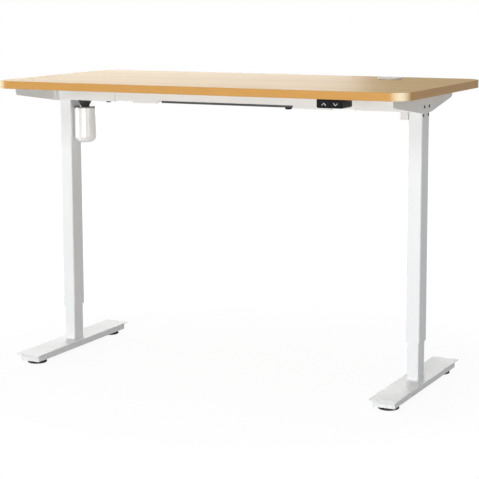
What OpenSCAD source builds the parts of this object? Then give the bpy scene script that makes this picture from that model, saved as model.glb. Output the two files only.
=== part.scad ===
// Height adjustable standing desk with one motor, at its rest height.
// X runs along the width (right +), Y from front (-) to back (+), Z up.
// The origin is on the floor, under the middle of the desktop.

/* [Desktop] */
// Width of the desktop
top_w = 1200; // [1000:10:1600]
// Depth of the desktop
top_d = 600; // [560:10:700]
// Thickness of the desktop
top_t = 21; // [18:1:28]
// Radius of the desktop's four corners, seen from above
top_r = 50; // [20:5:80]
// Thickness of the edge band
band_t = 2; // [1:0.5:3]
// Height of the desktop's upper face above the floor, at rest
rest_h = 800; // [790:5:860]

/* [Cable grommet] */
// Distance of the grommet's centre from the desktop's right edge
grommet_side = 234; // [180:1:300]
// Distance of the grommet's centre from the desktop's back edge
grommet_back = 100; // [60:1:120]
// Radius of the hole through the desktop
grommet_hole_r = 30; // [25:1:35]
// Wall of the grommet's sleeve
grommet_wall = 2; // [1.5:0.5:3]
// Width of the grommet's rim beyond its hole
grommet_rim_w = 3; // [2:0.5:6]
// Thickness of the grommet's rim
grommet_rim_t = 2; // [1.5:0.5:3]
// Depth of the rebate that the rim sits in
grommet_rebate = 0.5; // [0.5:0.5:1]
// Height of the lid above the rim
grommet_lid_h = 3; // [2:0.5:5]
// Width of the cable notch in the lid
grommet_notch_w = 16; // [10:1:20]

/* [Legs] */
// Distance of each leg's middle from the desktop's side edge
leg_inset = 68; // [50:1:120]
// Place of the legs from front to back (0 is the middle of the desktop)
leg_y = -20; // [-40:1:0]
// Width of the wide upper tube, along X
outer_x = 37; // [36:1:42]
// Depth of the wide upper tube, along Y
outer_y = 54; // [53:1:55]
// Wall of the wide upper tube
outer_wall = 1.5; // [1.2:0.1:2]
// Corner radius of the wide upper tube
outer_r = 4; // [3:0.5:5]
// Room between the two tubes along X, on each side
tube_gap_x = 1.5; // [1:0.1:2]
// Room between the two tubes along Y, on each side
tube_gap_y = 2; // [1.5:0.1:2.5]
// Wall of the narrow lower tube
inner_wall = 1.5; // [1.2:0.1:2]
// How far the desktop goes down from rest
travel_down = 90; // [60:5:120]
// How far the desktop goes up from rest
travel_up = 380; // [300:10:380]
// Room under the upper tube at the lowest height; half of it is left over the lower tube
low_room = 10; // [6:1:14]
// Height of each plastic glide
glide_h = 40; // [25:1:50]
// Running clearance of the glides
glide_clear = 0.1; // [0.05:0.01:0.15]

/* [Feet] */
// Length of the foot's top plate
foot_l = 484; // [440:2:540]
// Width of the foot's top plate
foot_w = 75; // [68:1:85]
// Thickness of the foot's top plate
foot_plate_t = 2; // [1.5:0.5:4]
// Height of the foot's box section
foot_base_h = 19; // [16:1:30]
// Wall of the foot's box section
foot_wall = 2.5; // [2:0.5:3]
// Overhang of the plate at the foot's two sides
foot_over_x = 7; // [2:0.5:10]
// Overhang of the plate at the foot's two ends
foot_over_y = 11; // [4:0.5:16]
// Radius of the levelling pads
pad_r = 27; // [20:0.5:29]
// Thickness of the pad's disc
pad_t = 5; // [3:0.5:6]
// Height of the foot's box above the floor
pad_lift = 9; // [8:0.5:14]
// Distance of the pads from the plate's ends
pad_inset = 48; // [40:1:80]
// Radius of the pad's threaded stud
stud_r = 4; // [3:0.5:5]
// Radius of the bolts that hold the leg to the foot
foot_bolt_r = 3; // [2.5:0.5:4]
// Distance between the two foot bolts
foot_bolt_span = 24; // [20:1:28]

/* [Crossbeam] */
// Depth of the end sleeves, along Y
sleeve_y = 60; // [59:1:68]
// Height of the end sleeves
sleeve_h = 43.5; // [42:0.5:46]
// Wall of the beam's channels
beam_wall = 2; // [1.5:0.5:2.5]
// Length of the end sleeves, from their inner end to the leg's outer side
sleeve_l = 186.5; // [170:0.5:200]
// Length of the lips under the sleeves' inner ends
lip_l = 60; // [40:1:80]
// Width of those lips
lip_w = 12; // [10:0.5:14]
// Clearance between the sleeves, the rail and the cover
beam_clear = 0.3; // [0.2:0.1:0.5]
// Length of the rail inside each sleeve
rail_lap = 91; // [80:1:93]
// Length of the rail that shows on each side of the cover
rail_show = 60; // [40:1:90]
// Wall of the cover
cover_wall = 1.5; // [1:0.1:2]
// Room between the cover's front and the rail
cover_front_gap = 4.5; // [3:0.5:8]
// Corner radius of the cover's ends, seen from above
cover_r = 7; // [3:0.5:10]
// Distance of the window's ends from the cover's ends
window_in = 100; // [80:1:120]
// Place of the window's middle
window_x = -15; // [-20:1:10]
// Height of the window
window_h = 7; // [5:0.5:9]
// Depth of the flange at the sleeve's outer end, beyond the sleeve
end_flange = 20; // [12:1:24]
// Thickness of that flange
end_flange_t = 2; // [1.5:0.5:3]
// Radius of the lock screws
lock_r = 3; // [2.5:0.5:4]
// Radius of the lock screws' heads
lock_head_r = 7; // [6:0.5:7]
// Distance of the lock screws from the sleeve's inner end
lock_inset = 24; // [15:1:30]

/* [Side brackets] */
// Sheet thickness of the brackets
bracket_t = 2.5; // [2:0.5:3]
// Height of the bracket in its middle
bracket_h = 48; // [46:1:52]
// Height of the bracket at its ends
bracket_end_h = 19; // [14:1:24]
// Reach of the bracket to the front of the leg's middle
arm_front = 240; // [200:1:260]
// Reach of the bracket to the back of the leg's middle
arm_back = 200; // [160:1:230]
// Half length of the straight lower edge in the middle
bracket_mid = 34; // [28:1:40]
// Width of the flange under the desktop
bracket_flange = 32; // [24:1:40]
// Corner radius of the bracket's ends
bracket_r = 9; // [5:0.5:12]

/* [Drive] */
// Radius of the lead screws
screw_r = 7; // [6:0.5:7]
// Radius of the screw's journal under its gear
journal_r = 5; // [4:0.5:5]
// Running clearance of shafts in their bores
run_clear = 0.05; // [0.02:0.01:0.08]
// Outer radius of the screw bearings
screw_bearing_r = 13; // [12:0.5:14]
// Height of the screw bearings
screw_bearing_h = 10; // [8:0.5:12]
// Distance across the flats of the hexagonal shaft
hex_flats = 8; // [7:0.5:9]
// Outer radius of the shaft bearings
shaft_bearing_r = 10; // [9:0.5:11]
// Teeth of each bevel gear
gear_teeth = 16; // [14:1:18]
// Pitch radius of each bevel gear
gear_r = 12; // [11:0.5:13]
// Face width of the gear teeth
gear_face = 6; // [4:0.5:7]
// Backlash between the teeth
gear_backlash = 0.4; // [0.3:0.05:0.6]
// Length of the hub behind each gear
gear_hub = 5.5; // [4:0.5:5.5]
// Depth of the plug that holds the tube on the gear box
plug_l = 20; // [18:1:24]
// Height of the nut
nut_h = 30; // [20:1:40]

/* [Motor] */
// Room between the motor's can and the leg
motor_gap = 1; // [1:0.5:6]
// Radius of the motor's can
motor_r = 31; // [28:0.5:31]
// Length of the motor's can, with its round end
motor_l = 100; // [90:1:120]
// Radius of the round at the can's lower end
motor_round = 20; // [12:1:26]
// Wall of the can
motor_wall = 1.5; // [1:0.1:2]
// Thickness of the motor's top flange
motor_flange_t = 3; // [2:0.5:4]
// Height of the neck between the gear box and the motor
neck_h = 20; // [16:1:26]
// Upper radius of the neck
neck_top_r = 20; // [17:0.5:22]
// Lower radius of the neck
neck_low_r = 11.5; // [10:0.5:15]

/* [Control box] */
// Room between the control box's ends and the window's ends
box_gap = 3; // [2:1:20]
// Height of the control box
box_h = 17; // [14:0.5:17]
// Wall of the control box
box_wall = 1.5; // [1:0.1:2]
// Radius of the cable gland under the box
gland_r = 9; // [5:0.5:10]
// Distance of the gland from the box's right end
gland_in = 16; // [12:1:60]

/* [Handset] */
// Width of the handset
hand_w = 70; // [68:1:100]
// Depth of the handset
hand_d = 58; // [40:1:70]
// Height of the handset
hand_h = 22; // [20:1:26]
// Distance of the handset from the desktop's right edge
hand_side = 165; // [120:1:260]
// Distance of the handset's face behind the desktop's front edge
hand_in = 8; // [2:1:20]
// Radius of the handset's lower corners, seen from the front
hand_r = 4; // [3:0.5:5]
// Wall of the handset
hand_wall = 2; // [1.5:0.1:2.5]
// Width of each button
button_w = 24; // [18:0.5:26]
// Height of each button
button_h = 12; // [10:0.5:12]
// Distance between the two buttons' middles
button_pitch = 31; // [28:0.5:34]
// Middle of the first button, from the handset's left edge
button_x = 19.5; // [16:0.5:21]
// Travel of the buttons
button_travel = 0.8; // [0.4:0.1:1]
// Clearance round the buttons
button_clear = 0.25; // [0.15:0.05:0.4]

/* [Hidden] */
$fn = 64;
tiny = 0.01;

// Clearances: a fit between fixed pieces, and how far a cutter passes the face that it cuts
fit = 0.05;
cut = 1;

// Levels
under_z = rest_h - top_t;
sleeve_top = under_z - bracket_t;
sleeve_low = sleeve_top - sleeve_h;
shaft_rise = 23;
shaft_z = sleeve_low + shaft_rise;
foot_base_top = pad_lift + foot_base_h;
foot_top = foot_base_top + foot_plate_t;
outer_low = foot_top + travel_down + low_room;
inner_top = sleeve_low - plug_l - travel_down - low_room / 2;

// Legs
leg_x = top_w / 2 - leg_inset;
inner_x = outer_x - 2 * outer_wall - 2 * tube_gap_x;
inner_y = outer_y - 2 * outer_wall - 2 * tube_gap_y;
inner_l = inner_top - foot_top;
inner_r = outer_r - 1;
web_in = leg_x + outer_x / 2;
plug_x = outer_x - 2 * outer_wall;
plug_y = outer_y - 2 * outer_wall;
core_x = inner_x - 2 * inner_wall;
core_y = inner_y - 2 * inner_wall;
core_r = max(inner_r - inner_wall, 0.5);
foot_plate_r = 3;
foot_end_h = 8;
foot_head_h = 3;
foot_head_w = 3;
pad_chamfer = 1;
pad_hub_w = 5;
stud_room = 2;

// Grommet
grommet_x = top_w / 2 - grommet_side;
grommet_y = top_d / 2 - grommet_back;
lid_chamfer = 1;
spigot_h = 6;
spigot_t = 2;
notch_depth = 20;

// Crossbeam
sleeve_in = web_in - sleeve_l;
rail_half = sleeve_in + rail_lap;
rail_lip_gap = 2;
cover_l = 2 * (sleeve_in - rail_show);
cover_drop = 1;
window_l = cover_l - 2 * window_in;
lock_edge = 0.5;
lock_head_h = 3.5;
lock_reach = 3;
housing_y = sleeve_y - 2 * beam_wall - 2 * beam_clear;
housing_top = sleeve_top - beam_wall - beam_clear;
housing_wall = 3;
housing_floor = 5;
rail_y = housing_y;
rail_top = sleeve_top - beam_wall - beam_clear;
rail_low = sleeve_low + beam_wall;
rail_in_y = rail_y - 2 * beam_wall;
cover_top = rail_top + cover_wall;
cover_low = sleeve_low - cover_drop;
cover_front = leg_y - rail_y / 2 - cover_front_gap - cover_wall;
cover_back = leg_y + rail_y / 2 + beam_clear + cover_wall;
hex_r = hex_flats / 2 / cos(30);

// Gears: two equal bevel gears on crossed shafts
gear_module = 2 * gear_r / gear_teeth;
gear_tip = 0.8 * gear_module;
gear_root = 1.15 * gear_module;
gear_cone = gear_r * sqrt(2);
gear_small = (gear_cone - gear_face) / gear_cone;
gear_hub_wall = 3;
gear_shoulder = 1.5;
tooth_flank = 0.42;
tooth_sink = 0.4;
gear_low = shaft_z - gear_r - gear_hub;
journal_top = gear_low + gear_hub + 3;

// Drive
screw_tail = 8;
screw_l = sleeve_low - inner_top + nut_h + travel_up + screw_tail;
motor_off = outer_x / 2 + motor_gap + motor_r;
motor_x = -leg_x + motor_off;
motor_reach = 23;
motor_housing_in = leg_x - motor_off - motor_reach;
blank_reach = 44;
blank_housing_in = leg_x - blank_reach;
port_w = 22;
port_d = 26;
port_r = 2;
port_front = 12;
shaft_room = 1;
shaft_end_gap = 6;
neck_low = sleeve_low - neck_h;
can_top = neck_low - motor_flange_t;
flange_arm_w = 24;
core_gap = 1;
core_end_gap = 8;
core_seat = 12;

// Control box
box_x = window_x;
box_l = window_l - 2 * box_gap;
box_low = sleeve_low;
box_top = box_low + box_h;
box_y = rail_in_y - 2 * beam_clear;
gland_wall = 3;
gland_drop = 5;
gland_lap = 2;
board_t = 1.6;
board_gap = 0.3;
chip = 18;
chip_h = 2.4;
chip_places = [-0.35, -0.1, 0.15, 0.38];

// Handset
hand_front = -top_d / 2 + hand_in;
hand_x = top_w / 2 - hand_side - hand_w;
hand_low = under_z - hand_h;
button_drop = 12.5;
button_z = under_z - button_drop;
button_proud = 0.5;
button_flange = 1.5;
button_lap = 0.8;
stem_r = 2.5;
stem_gap = 0.2;
switch_r = 3;
switch_h = 1;
board_in = 7;
board_y = hand_front + hand_wall + board_in;
board_over = 12;
board_drop = 5.5;
ear_w = 14;
ear_t = 3;
ear_in = 4;

// Screws
wood_r = 2.2;
wood_l = 14;
wood_head_r = 4.5;
wood_head_h = 2.5;
wood_pass = 0.3;
wood_spare = 1.2;
bracket_screw_end = 30;
bracket_screw_mid = 90;
m6_r = 3;
m6_head_r = 4;
m6_head_h = 1.2;
m6_off = 18;
m6_up = 14;
m6_down = 8;
m6_up_l = 8;
m6_down_l = 6;

// A rounded rectangle about the origin, with true arcs
module rounded(w, d, r) {
    square([w - 2 * r, d], center = true);
    square([w, d - 2 * r], center = true);
    for (sx = [-1, 1])
        for (sy = [-1, 1])
            translate([sx * (w / 2 - r), sy * (d / 2 - r)]) circle(r);
}

// A straight tube of rounded rectangular section, from z = 0 up
module box_tube(w, d, r, wall, l) {
    linear_extrude(l)
        difference() {
            rounded(w, d, r);
            rounded(w - 2 * wall, d - 2 * wall, max(r - wall, 0.5));
        }
}

// A rod along Z that starts at the origin
module rod(r, l) {
    cylinder(r = r, h = l);
}

// A ring along Z that starts at the origin
module ring(r_out, r_in, h) {
    difference() {
        cylinder(r = r_out, h = h);
        translate([0, 0, -cut]) cylinder(r = r_in, h = h + 2 * cut);
    }
}

// Puts a part on the left (-1) or right (1) leg; the left one is the right one mirrored
module on_side(side) {
    if (side > 0) children();
    else mirror([1, 0, 0]) children();
}

// Places of the desktop's screws: along both brackets' flanges, and the handset's two ears
function bracket_screw_y() = [
    leg_y - arm_front + bracket_screw_end, leg_y - bracket_screw_mid,
    leg_y + bracket_screw_mid, leg_y + arm_back - bracket_screw_end
];
function flange_x() = web_in + bracket_t - bracket_flange / 2;
function ear_x() = [hand_x + ear_in + ear_w / 2, hand_x + hand_w - ear_in - ear_w / 2];
function ear_y() = hand_front + hand_d + ear_w / 2;

// ---- Desktop ----

module desktop() {
    color("#e6d3af")
        difference() {
            translate([0, 0, under_z])
                linear_extrude(top_t)
                    rounded(top_w - 2 * band_t, top_d - 2 * band_t, top_r - band_t);
            translate([grommet_x, grommet_y, under_z - cut])
                cylinder(r = grommet_hole_r, h = top_t + 2 * cut);
            translate([grommet_x, grommet_y, rest_h - grommet_rebate])
                cylinder(r = grommet_hole_r + grommet_rim_w + fit, h = grommet_rebate + cut);
            for (side = [-1, 1])
                for (y = bracket_screw_y())
                    translate([side * flange_x(), y, under_z - cut])
                        cylinder(r = wood_r + fit, h = wood_l + wood_spare);
            for (x = ear_x())
                translate([x, ear_y(), under_z - cut])
                    cylinder(r = wood_r + fit, h = wood_l + wood_spare);
        }
}

module edge_band() {
    color("#d9a066")
        translate([0, 0, under_z])
            linear_extrude(top_t)
                difference() {
                    rounded(top_w, top_d, top_r);
                    rounded(top_w - 2 * band_t, top_d - 2 * band_t, top_r - band_t);
                }
}

module grommet_ring() {
    bore_r = grommet_hole_r - grommet_wall - fit;
    color("#f2f2f0")
        translate([grommet_x, grommet_y, 0]) {
            translate([0, 0, rest_h - grommet_rebate])
                ring(grommet_hole_r + grommet_rim_w, bore_r, grommet_rim_t + grommet_rebate);
            translate([0, 0, under_z]) ring(grommet_hole_r - fit, bore_r, top_t);
        }
}

module grommet_lid() {
    lid_r = grommet_hole_r + grommet_rim_w;
    spigot_r = grommet_hole_r - grommet_wall - fit - run_clear;
    color("#f4f4f2")
        translate([grommet_x, grommet_y, rest_h + grommet_rim_t])
            difference() {
                union() {
                    rotate_extrude()
                        polygon([
                            [0, 0], [lid_r, 0], [lid_r, grommet_lid_h - lid_chamfer],
                            [lid_r - lid_chamfer, grommet_lid_h], [0, grommet_lid_h]
                        ]);
                    translate([0, 0, -spigot_h]) ring(spigot_r, spigot_r - spigot_t, spigot_h + tiny);
                }
                translate([-grommet_notch_w / 2, lid_r - notch_depth, -spigot_h - cut])
                    cube([grommet_notch_w, notch_depth + cut, spigot_h + grommet_lid_h + 2 * cut]);
            }
}

// ---- Side brackets ----

module bracket_outline() {
    y_front = leg_y - arm_front;
    y_back = leg_y + arm_back;
    low_mid = under_z - bracket_h;
    low_end = under_z - bracket_end_h;
    r = bracket_r;
    slope_front = atan2(bracket_h - bracket_end_h, arm_front - bracket_mid);
    slope_back = atan2(bracket_h - bracket_end_h, arm_back - bracket_mid);
    // each end is rounded where its short edge meets the slanted lower edge
    front_d = r * tan((90 - slope_front) / 2);
    back_d = r * tan((90 - slope_back) / 2);
    front_c = [y_front + r, low_end + front_d];
    back_c = [y_back - r, low_end + back_d];
    steps = 6;
    polygon(concat(
        [[y_front, under_z]],
        [for (i = [0:steps])
            let (a = 180 + i * (90 - slope_front) / steps)
                front_c + r * [cos(a), sin(a)]],
        [[leg_y - bracket_mid, low_mid], [leg_y + bracket_mid, low_mid]],
        [for (i = [0:steps])
            let (a = -90 + slope_back + i * (90 - slope_back) / steps)
                back_c + r * [cos(a), sin(a)]],
        [[y_back, under_z]]
    ));
}

module side_bracket(side) {
    color("#e4e4e2")
        on_side(side)
            difference() {
                union() {
                    translate([web_in, 0, 0])
                        rotate([90, 0, 90])
                            linear_extrude(bracket_t) bracket_outline();
                    translate([web_in + bracket_t - bracket_flange, leg_y - arm_front, under_z - bracket_t])
                        cube([bracket_flange, arm_front + arm_back, bracket_t]);
                }
                for (y = bracket_screw_y())
                    translate([flange_x(), y, under_z - bracket_t - cut])
                        cylinder(r = wood_r + wood_pass, h = bracket_t + 2 * cut);
                m6_holes(web_in, bracket_t, bracket_screw_z());
            }
}

function frame_screw_y() = [leg_y - m6_off, leg_y + m6_off];
function bracket_screw_z() = sleeve_low + m6_up;
function column_screw_z() = sleeve_low - m6_down;

// The two holes of one height, from x through that thickness
module m6_holes(x, thick, z) {
    for (y = frame_screw_y())
        translate([x - cut, y, z])
            rotate([0, 90, 0]) cylinder(r = m6_r + fit, h = thick + 2 * cut);
}

// A screw of that length under its head, whose head rests on the face at x
module m6_screw(x, y, z, l) {
    translate([x - l, y, z])
        rotate([0, 90, 0]) {
            cylinder(r = m6_r, h = l + m6_head_h);
            translate([0, 0, l]) cylinder(r = m6_head_r, h = m6_head_h);
        }
}

// Screws through the bracket, the sleeve's flange and the housing, and through the tube and the plug
module frame_screws() {
    color("#3a3a3a")
        for (side = [-1, 1])
            on_side(side)
                for (y = frame_screw_y()) {
                    m6_screw(web_in + bracket_t, y, bracket_screw_z(), m6_up_l + bracket_t);
                    m6_screw(web_in, y, column_screw_z(), m6_down_l);
                }
}

module wood_screw() {
    translate([0, 0, -wood_head_h]) {
        cylinder(r = wood_head_r, h = wood_head_h);
        cylinder(r = wood_r, h = wood_head_h + wood_l);
    }
}

module desktop_screws() {
    color("#8c8c8a") {
        for (side = [-1, 1])
            for (y = bracket_screw_y())
                translate([side * flange_x(), y, under_z - bracket_t]) wood_screw();
        for (x = ear_x())
            translate([x, ear_y(), under_z - ear_t]) wood_screw();
    }
}

// ---- Crossbeam ----

// A channel along X that is open at the bottom, from x0 to x1
module channel(x0, x1, y_size, z_low, z_top, wall) {
    difference() {
        translate([x0, leg_y - y_size / 2, z_low]) cube([x1 - x0, y_size, z_top - z_low]);
        translate([x0 - cut, leg_y - y_size / 2 + wall, z_low - cut])
            cube([x1 - x0 + 2 * cut, y_size - 2 * wall, z_top - z_low - wall + cut]);
    }
}

module lips(x0, x1, y_size, z, wall) {
    for (s = [-1, 1])
        translate([x0, leg_y + s * (y_size / 2 - lip_w / 2) - lip_w / 2, z])
            cube([x1 - x0, lip_w, wall]);
}

// The lock screws sit in the front lip on the left and in the back lip on the right
function lock_x() = sleeve_in + lock_inset;
function lock_y(side) = leg_y + side * (sleeve_y / 2 - lock_head_r - lock_edge);

module beam_sleeve(side) {
    color("#f2f2f0")
        difference() {
            on_side(side)
                difference() {
                    union() {
                        channel(sleeve_in, web_in, sleeve_y, sleeve_low, sleeve_top, beam_wall);
                        lips(sleeve_in, sleeve_in + lip_l, sleeve_y, sleeve_low, beam_wall);
                        translate([web_in - end_flange_t, leg_y - sleeve_y / 2 - end_flange, sleeve_low])
                            cube([end_flange_t, sleeve_y + 2 * end_flange, sleeve_h]);
                    }
                    m6_holes(web_in - end_flange_t, end_flange_t, bracket_screw_z());
                }
            translate([side * lock_x(), lock_y(side), sleeve_low - cut])
                cylinder(r = lock_r + fit, h = beam_wall + 2 * cut);
        }
}

module beam_rail() {
    color("#f6f6f4")
        difference() {
            union() {
                channel(-rail_half, rail_half, rail_y, rail_low, rail_top, beam_wall);
                for (side = [-1, 1])
                    on_side(side)
                        lips(sleeve_in + rail_lip_gap, rail_half, rail_y, rail_low, beam_wall);
            }
            translate([window_x - window_l / 2, leg_y - rail_y / 2 - cut, rail_low - cut])
                cube([window_l, beam_wall + 2 * cut, window_h]);
            for (side = [-1, 1])
                translate([side * lock_x(), lock_y(side), rail_low - cut])
                    cylinder(r = lock_r + fit, h = beam_wall + 2 * cut);
        }
}

// A cover of rounded plan round the middle of the rail, open below and at both ends for the rail
module beam_cover() {
    depth = cover_back - cover_front;
    mid_y = (cover_back + cover_front) / 2;
    color("#f6f6f4")
        difference() {
            translate([0, mid_y, cover_low])
                linear_extrude(cover_top - cover_low) rounded(cover_l, depth, cover_r);
            translate([0, mid_y, cover_low - cut])
                linear_extrude(cover_top - cover_low + cut - cover_wall)
                    rounded(cover_l - 2 * cover_wall, depth - 2 * cover_wall, cover_r - cover_wall);
            translate([-cover_l, leg_y - rail_y / 2 - beam_clear, cover_low - cut])
                cube([2 * cover_l, rail_y + 2 * beam_clear, cover_top - cover_low + cut - cover_wall]);
            translate([window_x - window_l / 2, cover_front - cut, cover_low - cut])
                cube([window_l, cover_wall + 2 * cut, window_h + cut]);
        }
}

module beam_lock_screws() {
    color("#1c1c1c")
        for (side = [-1, 1])
            translate([side * lock_x(), lock_y(side), sleeve_low - lock_head_h]) {
                cylinder(r = lock_head_r, h = lock_head_h);
                cylinder(r = lock_r, h = lock_head_h + 2 * beam_wall + lock_reach);
            }
}

// ---- Gear boxes ----

// inner is how far the housing reaches towards the desk's middle, as a distance from it
module gear_housing(side, inner, has_motor) {
    x1 = web_in - end_flange_t;
    floor_z = sleeve_low + housing_floor;
    color("#b9b9b6")
        difference() {
            union() {
                on_side(side) {
                    translate([inner, leg_y - housing_y / 2, sleeve_low])
                        cube([x1 - inner, housing_y, housing_top - sleeve_low]);
                    translate([leg_x, leg_y, sleeve_low - plug_l])
                        linear_extrude(plug_l + tiny)
                            rounded(plug_x - 2 * fit, plug_y - 2 * fit, outer_r - outer_wall);
                }
                if (!has_motor)
                    translate([inner + port_r + port_w / 2, leg_y - port_front, sleeve_low - neck_h])
                        linear_extrude(neck_h + tiny) rounded(port_w, port_d, port_r);
            }
            on_side(side) {
                translate([inner + housing_wall, leg_y - housing_y / 2 + housing_wall, floor_z])
                    cube([x1 - inner - 2 * housing_wall, housing_y - 2 * housing_wall, sleeve_h]);
                translate([leg_x, leg_y, sleeve_low - plug_l - cut])
                    cylinder(r = screw_bearing_r + fit, h = screw_bearing_h + cut);
                translate([leg_x, leg_y, sleeve_low - plug_l])
                    cylinder(r = screw_r + shaft_room, h = plug_l + housing_floor + cut);
                translate([inner - cut, leg_y, shaft_z])
                    rotate([0, 90, 0]) cylinder(r = shaft_bearing_r + fit, h = housing_wall + 2 * cut);
                m6_holes(web_in - m6_up_l, m6_up_l, bracket_screw_z());
                m6_holes(web_in - m6_down_l, m6_down_l, column_screw_z());
            }
            if (has_motor)
                translate([motor_x, leg_y, sleeve_low - cut])
                    cylinder(r = journal_r + shaft_room, h = housing_floor + 2 * cut);
        }
}

module screw_bearings() {
    color("#9a9a9a")
        for (side = [-1, 1])
            translate([side * leg_x, leg_y, sleeve_low - plug_l])
                ring(screw_bearing_r, screw_r + run_clear, screw_bearing_h);
}

module shaft_bearings() {
    color("#9a9a9a")
        for (x = [-motor_housing_in - housing_wall, blank_housing_in])
            translate([x, leg_y, shaft_z])
                rotate([0, 90, 0]) ring(shaft_bearing_r, hex_r + run_clear, housing_wall);
}

// ---- Gears and shafts ----

// One tapered tooth: the same outline at the large and the small end, drawn towards the apex
module bevel_tooth() {
    half_pitch = PI * gear_module / 4 - gear_backlash / 2;
    half_root = half_pitch + gear_root * tooth_flank;
    half_tip = half_pitch - gear_tip * tooth_flank;
    outline = [
        [-half_root, -gear_root - tooth_sink], [half_root, -gear_root - tooth_sink],
        [half_pitch, 0], [half_tip, gear_tip], [-half_tip, gear_tip], [-half_pitch, 0]
    ];
    n = len(outline);
    slant = sqrt(0.5);
    function at(p, k) = k * [gear_r + p[1] * slant, p[0], -gear_r + p[1] * slant];
    polyhedron(
        points = concat([for (p = outline) at(p, 1)], [for (p = outline) at(p, gear_small)]),
        faces = concat(
            [[for (i = [n - 1:-1:0]) i]],
            [[for (i = [0:n - 1]) n + i]],
            [for (i = [0:n - 1]) [i, (i + 1) % n, n + (i + 1) % n, n + i]]
        )
    );
}

// A bevel gear on the Z axis, below its apex at the origin. It is turned by half a pitch to mesh with
// one that isn't
module bevel_gear(shaft_r, half_turned) {
    hub_r = shaft_r + gear_hub_wall;
    root_big = gear_r - gear_root * sqrt(0.5);
    root_big_z = -gear_r - gear_root * sqrt(0.5);
    root_small = root_big * gear_small;
    root_small_z = root_big_z * gear_small;
    difference() {
        union() {
            rotate_extrude()
                polygon([
                    [0, -gear_r - gear_hub], [hub_r, -gear_r - gear_hub], [hub_r, root_big_z - gear_shoulder],
                    [root_big, root_big_z], [root_small, root_small_z], [0, root_small_z]
                ]);
            for (i = [0:gear_teeth - 1])
                rotate([0, 0, (i + (half_turned ? 0.5 : 0)) * 360 / gear_teeth]) bevel_tooth();
        }
        translate([0, 0, -gear_r - gear_hub - cut]) cylinder(r = shaft_r + fit, h = gear_r + gear_hub + cut);
    }
}

// A gear on the shaft, with its apex at x and its teeth facing away from the desk's middle
module shaft_gear(x) {
    color("#c9a55c")
        translate([x, leg_y, shaft_z])
            rotate([0, x < 0 ? -90 : 90, 0]) bevel_gear(hex_r, true);
}

// The motor's own gear faces its output gear from the right
module motor_shaft_gear() {
    shaft_gear(motor_x);
}

module drive_shaft() {
    half = leg_x - shaft_end_gap;
    color("#8a8a88")
        translate([-half, leg_y, shaft_z])
            rotate([0, 90, 0]) rotate([0, 0, 30]) cylinder(r = hex_r, h = 2 * half, $fn = 6);
}

module lead_screw(side) {
    color("#a8a8a6")
        translate([side * leg_x, leg_y, sleeve_low - screw_l]) {
            rod(screw_r, screw_l + housing_floor);
            translate([0, 0, screw_l + housing_floor - tiny])
                rod(journal_r, journal_top - sleeve_low - housing_floor);
        }
}

module screw_gear(side) {
    color("#c9a55c")
        translate([side * leg_x, leg_y, shaft_z]) bevel_gear(journal_r, false);
}

// ---- Motor ----

module motor_can() {
    r = motor_r;
    q = motor_round;
    w = motor_wall;
    z0 = can_top - motor_l;
    color("#efefed")
        translate([motor_x, leg_y, z0])
            difference() {
                rotate_extrude()
                    union() {
                        square([r - q, motor_l]);
                        translate([0, q]) square([r, motor_l - q]);
                        translate([r - q, q]) intersection() {
                            circle(q);
                            translate([0, -q]) square([q, q]);
                        }
                    }
                rotate_extrude()
                    union() {
                        translate([0, w]) square([r - q, motor_l]);
                        translate([0, q]) square([r - w, motor_l]);
                        translate([r - q, q]) intersection() {
                            circle(q - w);
                            translate([0, -q]) square([q, q]);
                        }
                    }
            }
}

module motor_flange() {
    color("#4a4a4c")
        translate([0, leg_y, can_top])
            difference() {
                union() {
                    translate([motor_x, 0, 0]) cylinder(r = motor_r, h = motor_flange_t);
                    translate([-leg_x + outer_x / 2, -flange_arm_w / 2, 0])
                        cube([motor_off - outer_x / 2, flange_arm_w, motor_flange_t]);
                }
                translate([motor_x, 0, -cut])
                    cylinder(r = journal_r + run_clear, h = motor_flange_t + 2 * cut);
            }
}

module motor_neck() {
    color("#333335")
        translate([motor_x, leg_y, neck_low])
            difference() {
                cylinder(r1 = neck_low_r, r2 = neck_top_r, h = neck_h);
                translate([0, 0, -cut]) cylinder(r = journal_r + shaft_room, h = neck_h + 2 * cut);
            }
}

module motor_core() {
    core_l = motor_l - motor_round - core_end_gap;
    color("#6d6d70")
        translate([motor_x, leg_y, can_top - core_l])
            difference() {
                cylinder(r = motor_r - motor_wall - core_gap, h = core_l);
                translate([0, 0, core_l - core_seat])
                    cylinder(r = journal_r + run_clear, h = core_seat + cut);
            }
}

module motor_output_shaft() {
    z0 = can_top - core_seat + core_gap;
    color("#8a8a88")
        translate([motor_x, leg_y, z0]) rod(journal_r, journal_top - z0);
}

module motor_gear() {
    color("#c9a55c")
        translate([motor_x, leg_y, shaft_z]) bevel_gear(journal_r, false);
}

// ---- Legs ----

module outer_tube(side) {
    color("#f4f4f2")
        on_side(side)
            difference() {
                translate([leg_x, leg_y, outer_low])
                    box_tube(outer_x, outer_y, outer_r, outer_wall, sleeve_low - outer_low);
                m6_holes(web_in - outer_wall, outer_wall, column_screw_z());
            }
}

module inner_tube(side) {
    color("#f4f4f2")
        translate([side * leg_x, leg_y, foot_top])
            box_tube(inner_x, inner_y, inner_r, inner_wall, inner_l);
}

// The lower glide is fixed in the upper tube; the lower tube runs in it
module lower_glide(side) {
    color("#e8e8e6")
        translate([side * leg_x, leg_y, outer_low])
            linear_extrude(glide_h)
                difference() {
                    rounded(plug_x, plug_y, outer_r - outer_wall);
                    rounded(inner_x + 2 * glide_clear, inner_y + 2 * glide_clear, inner_r + glide_clear);
                }
}

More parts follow.
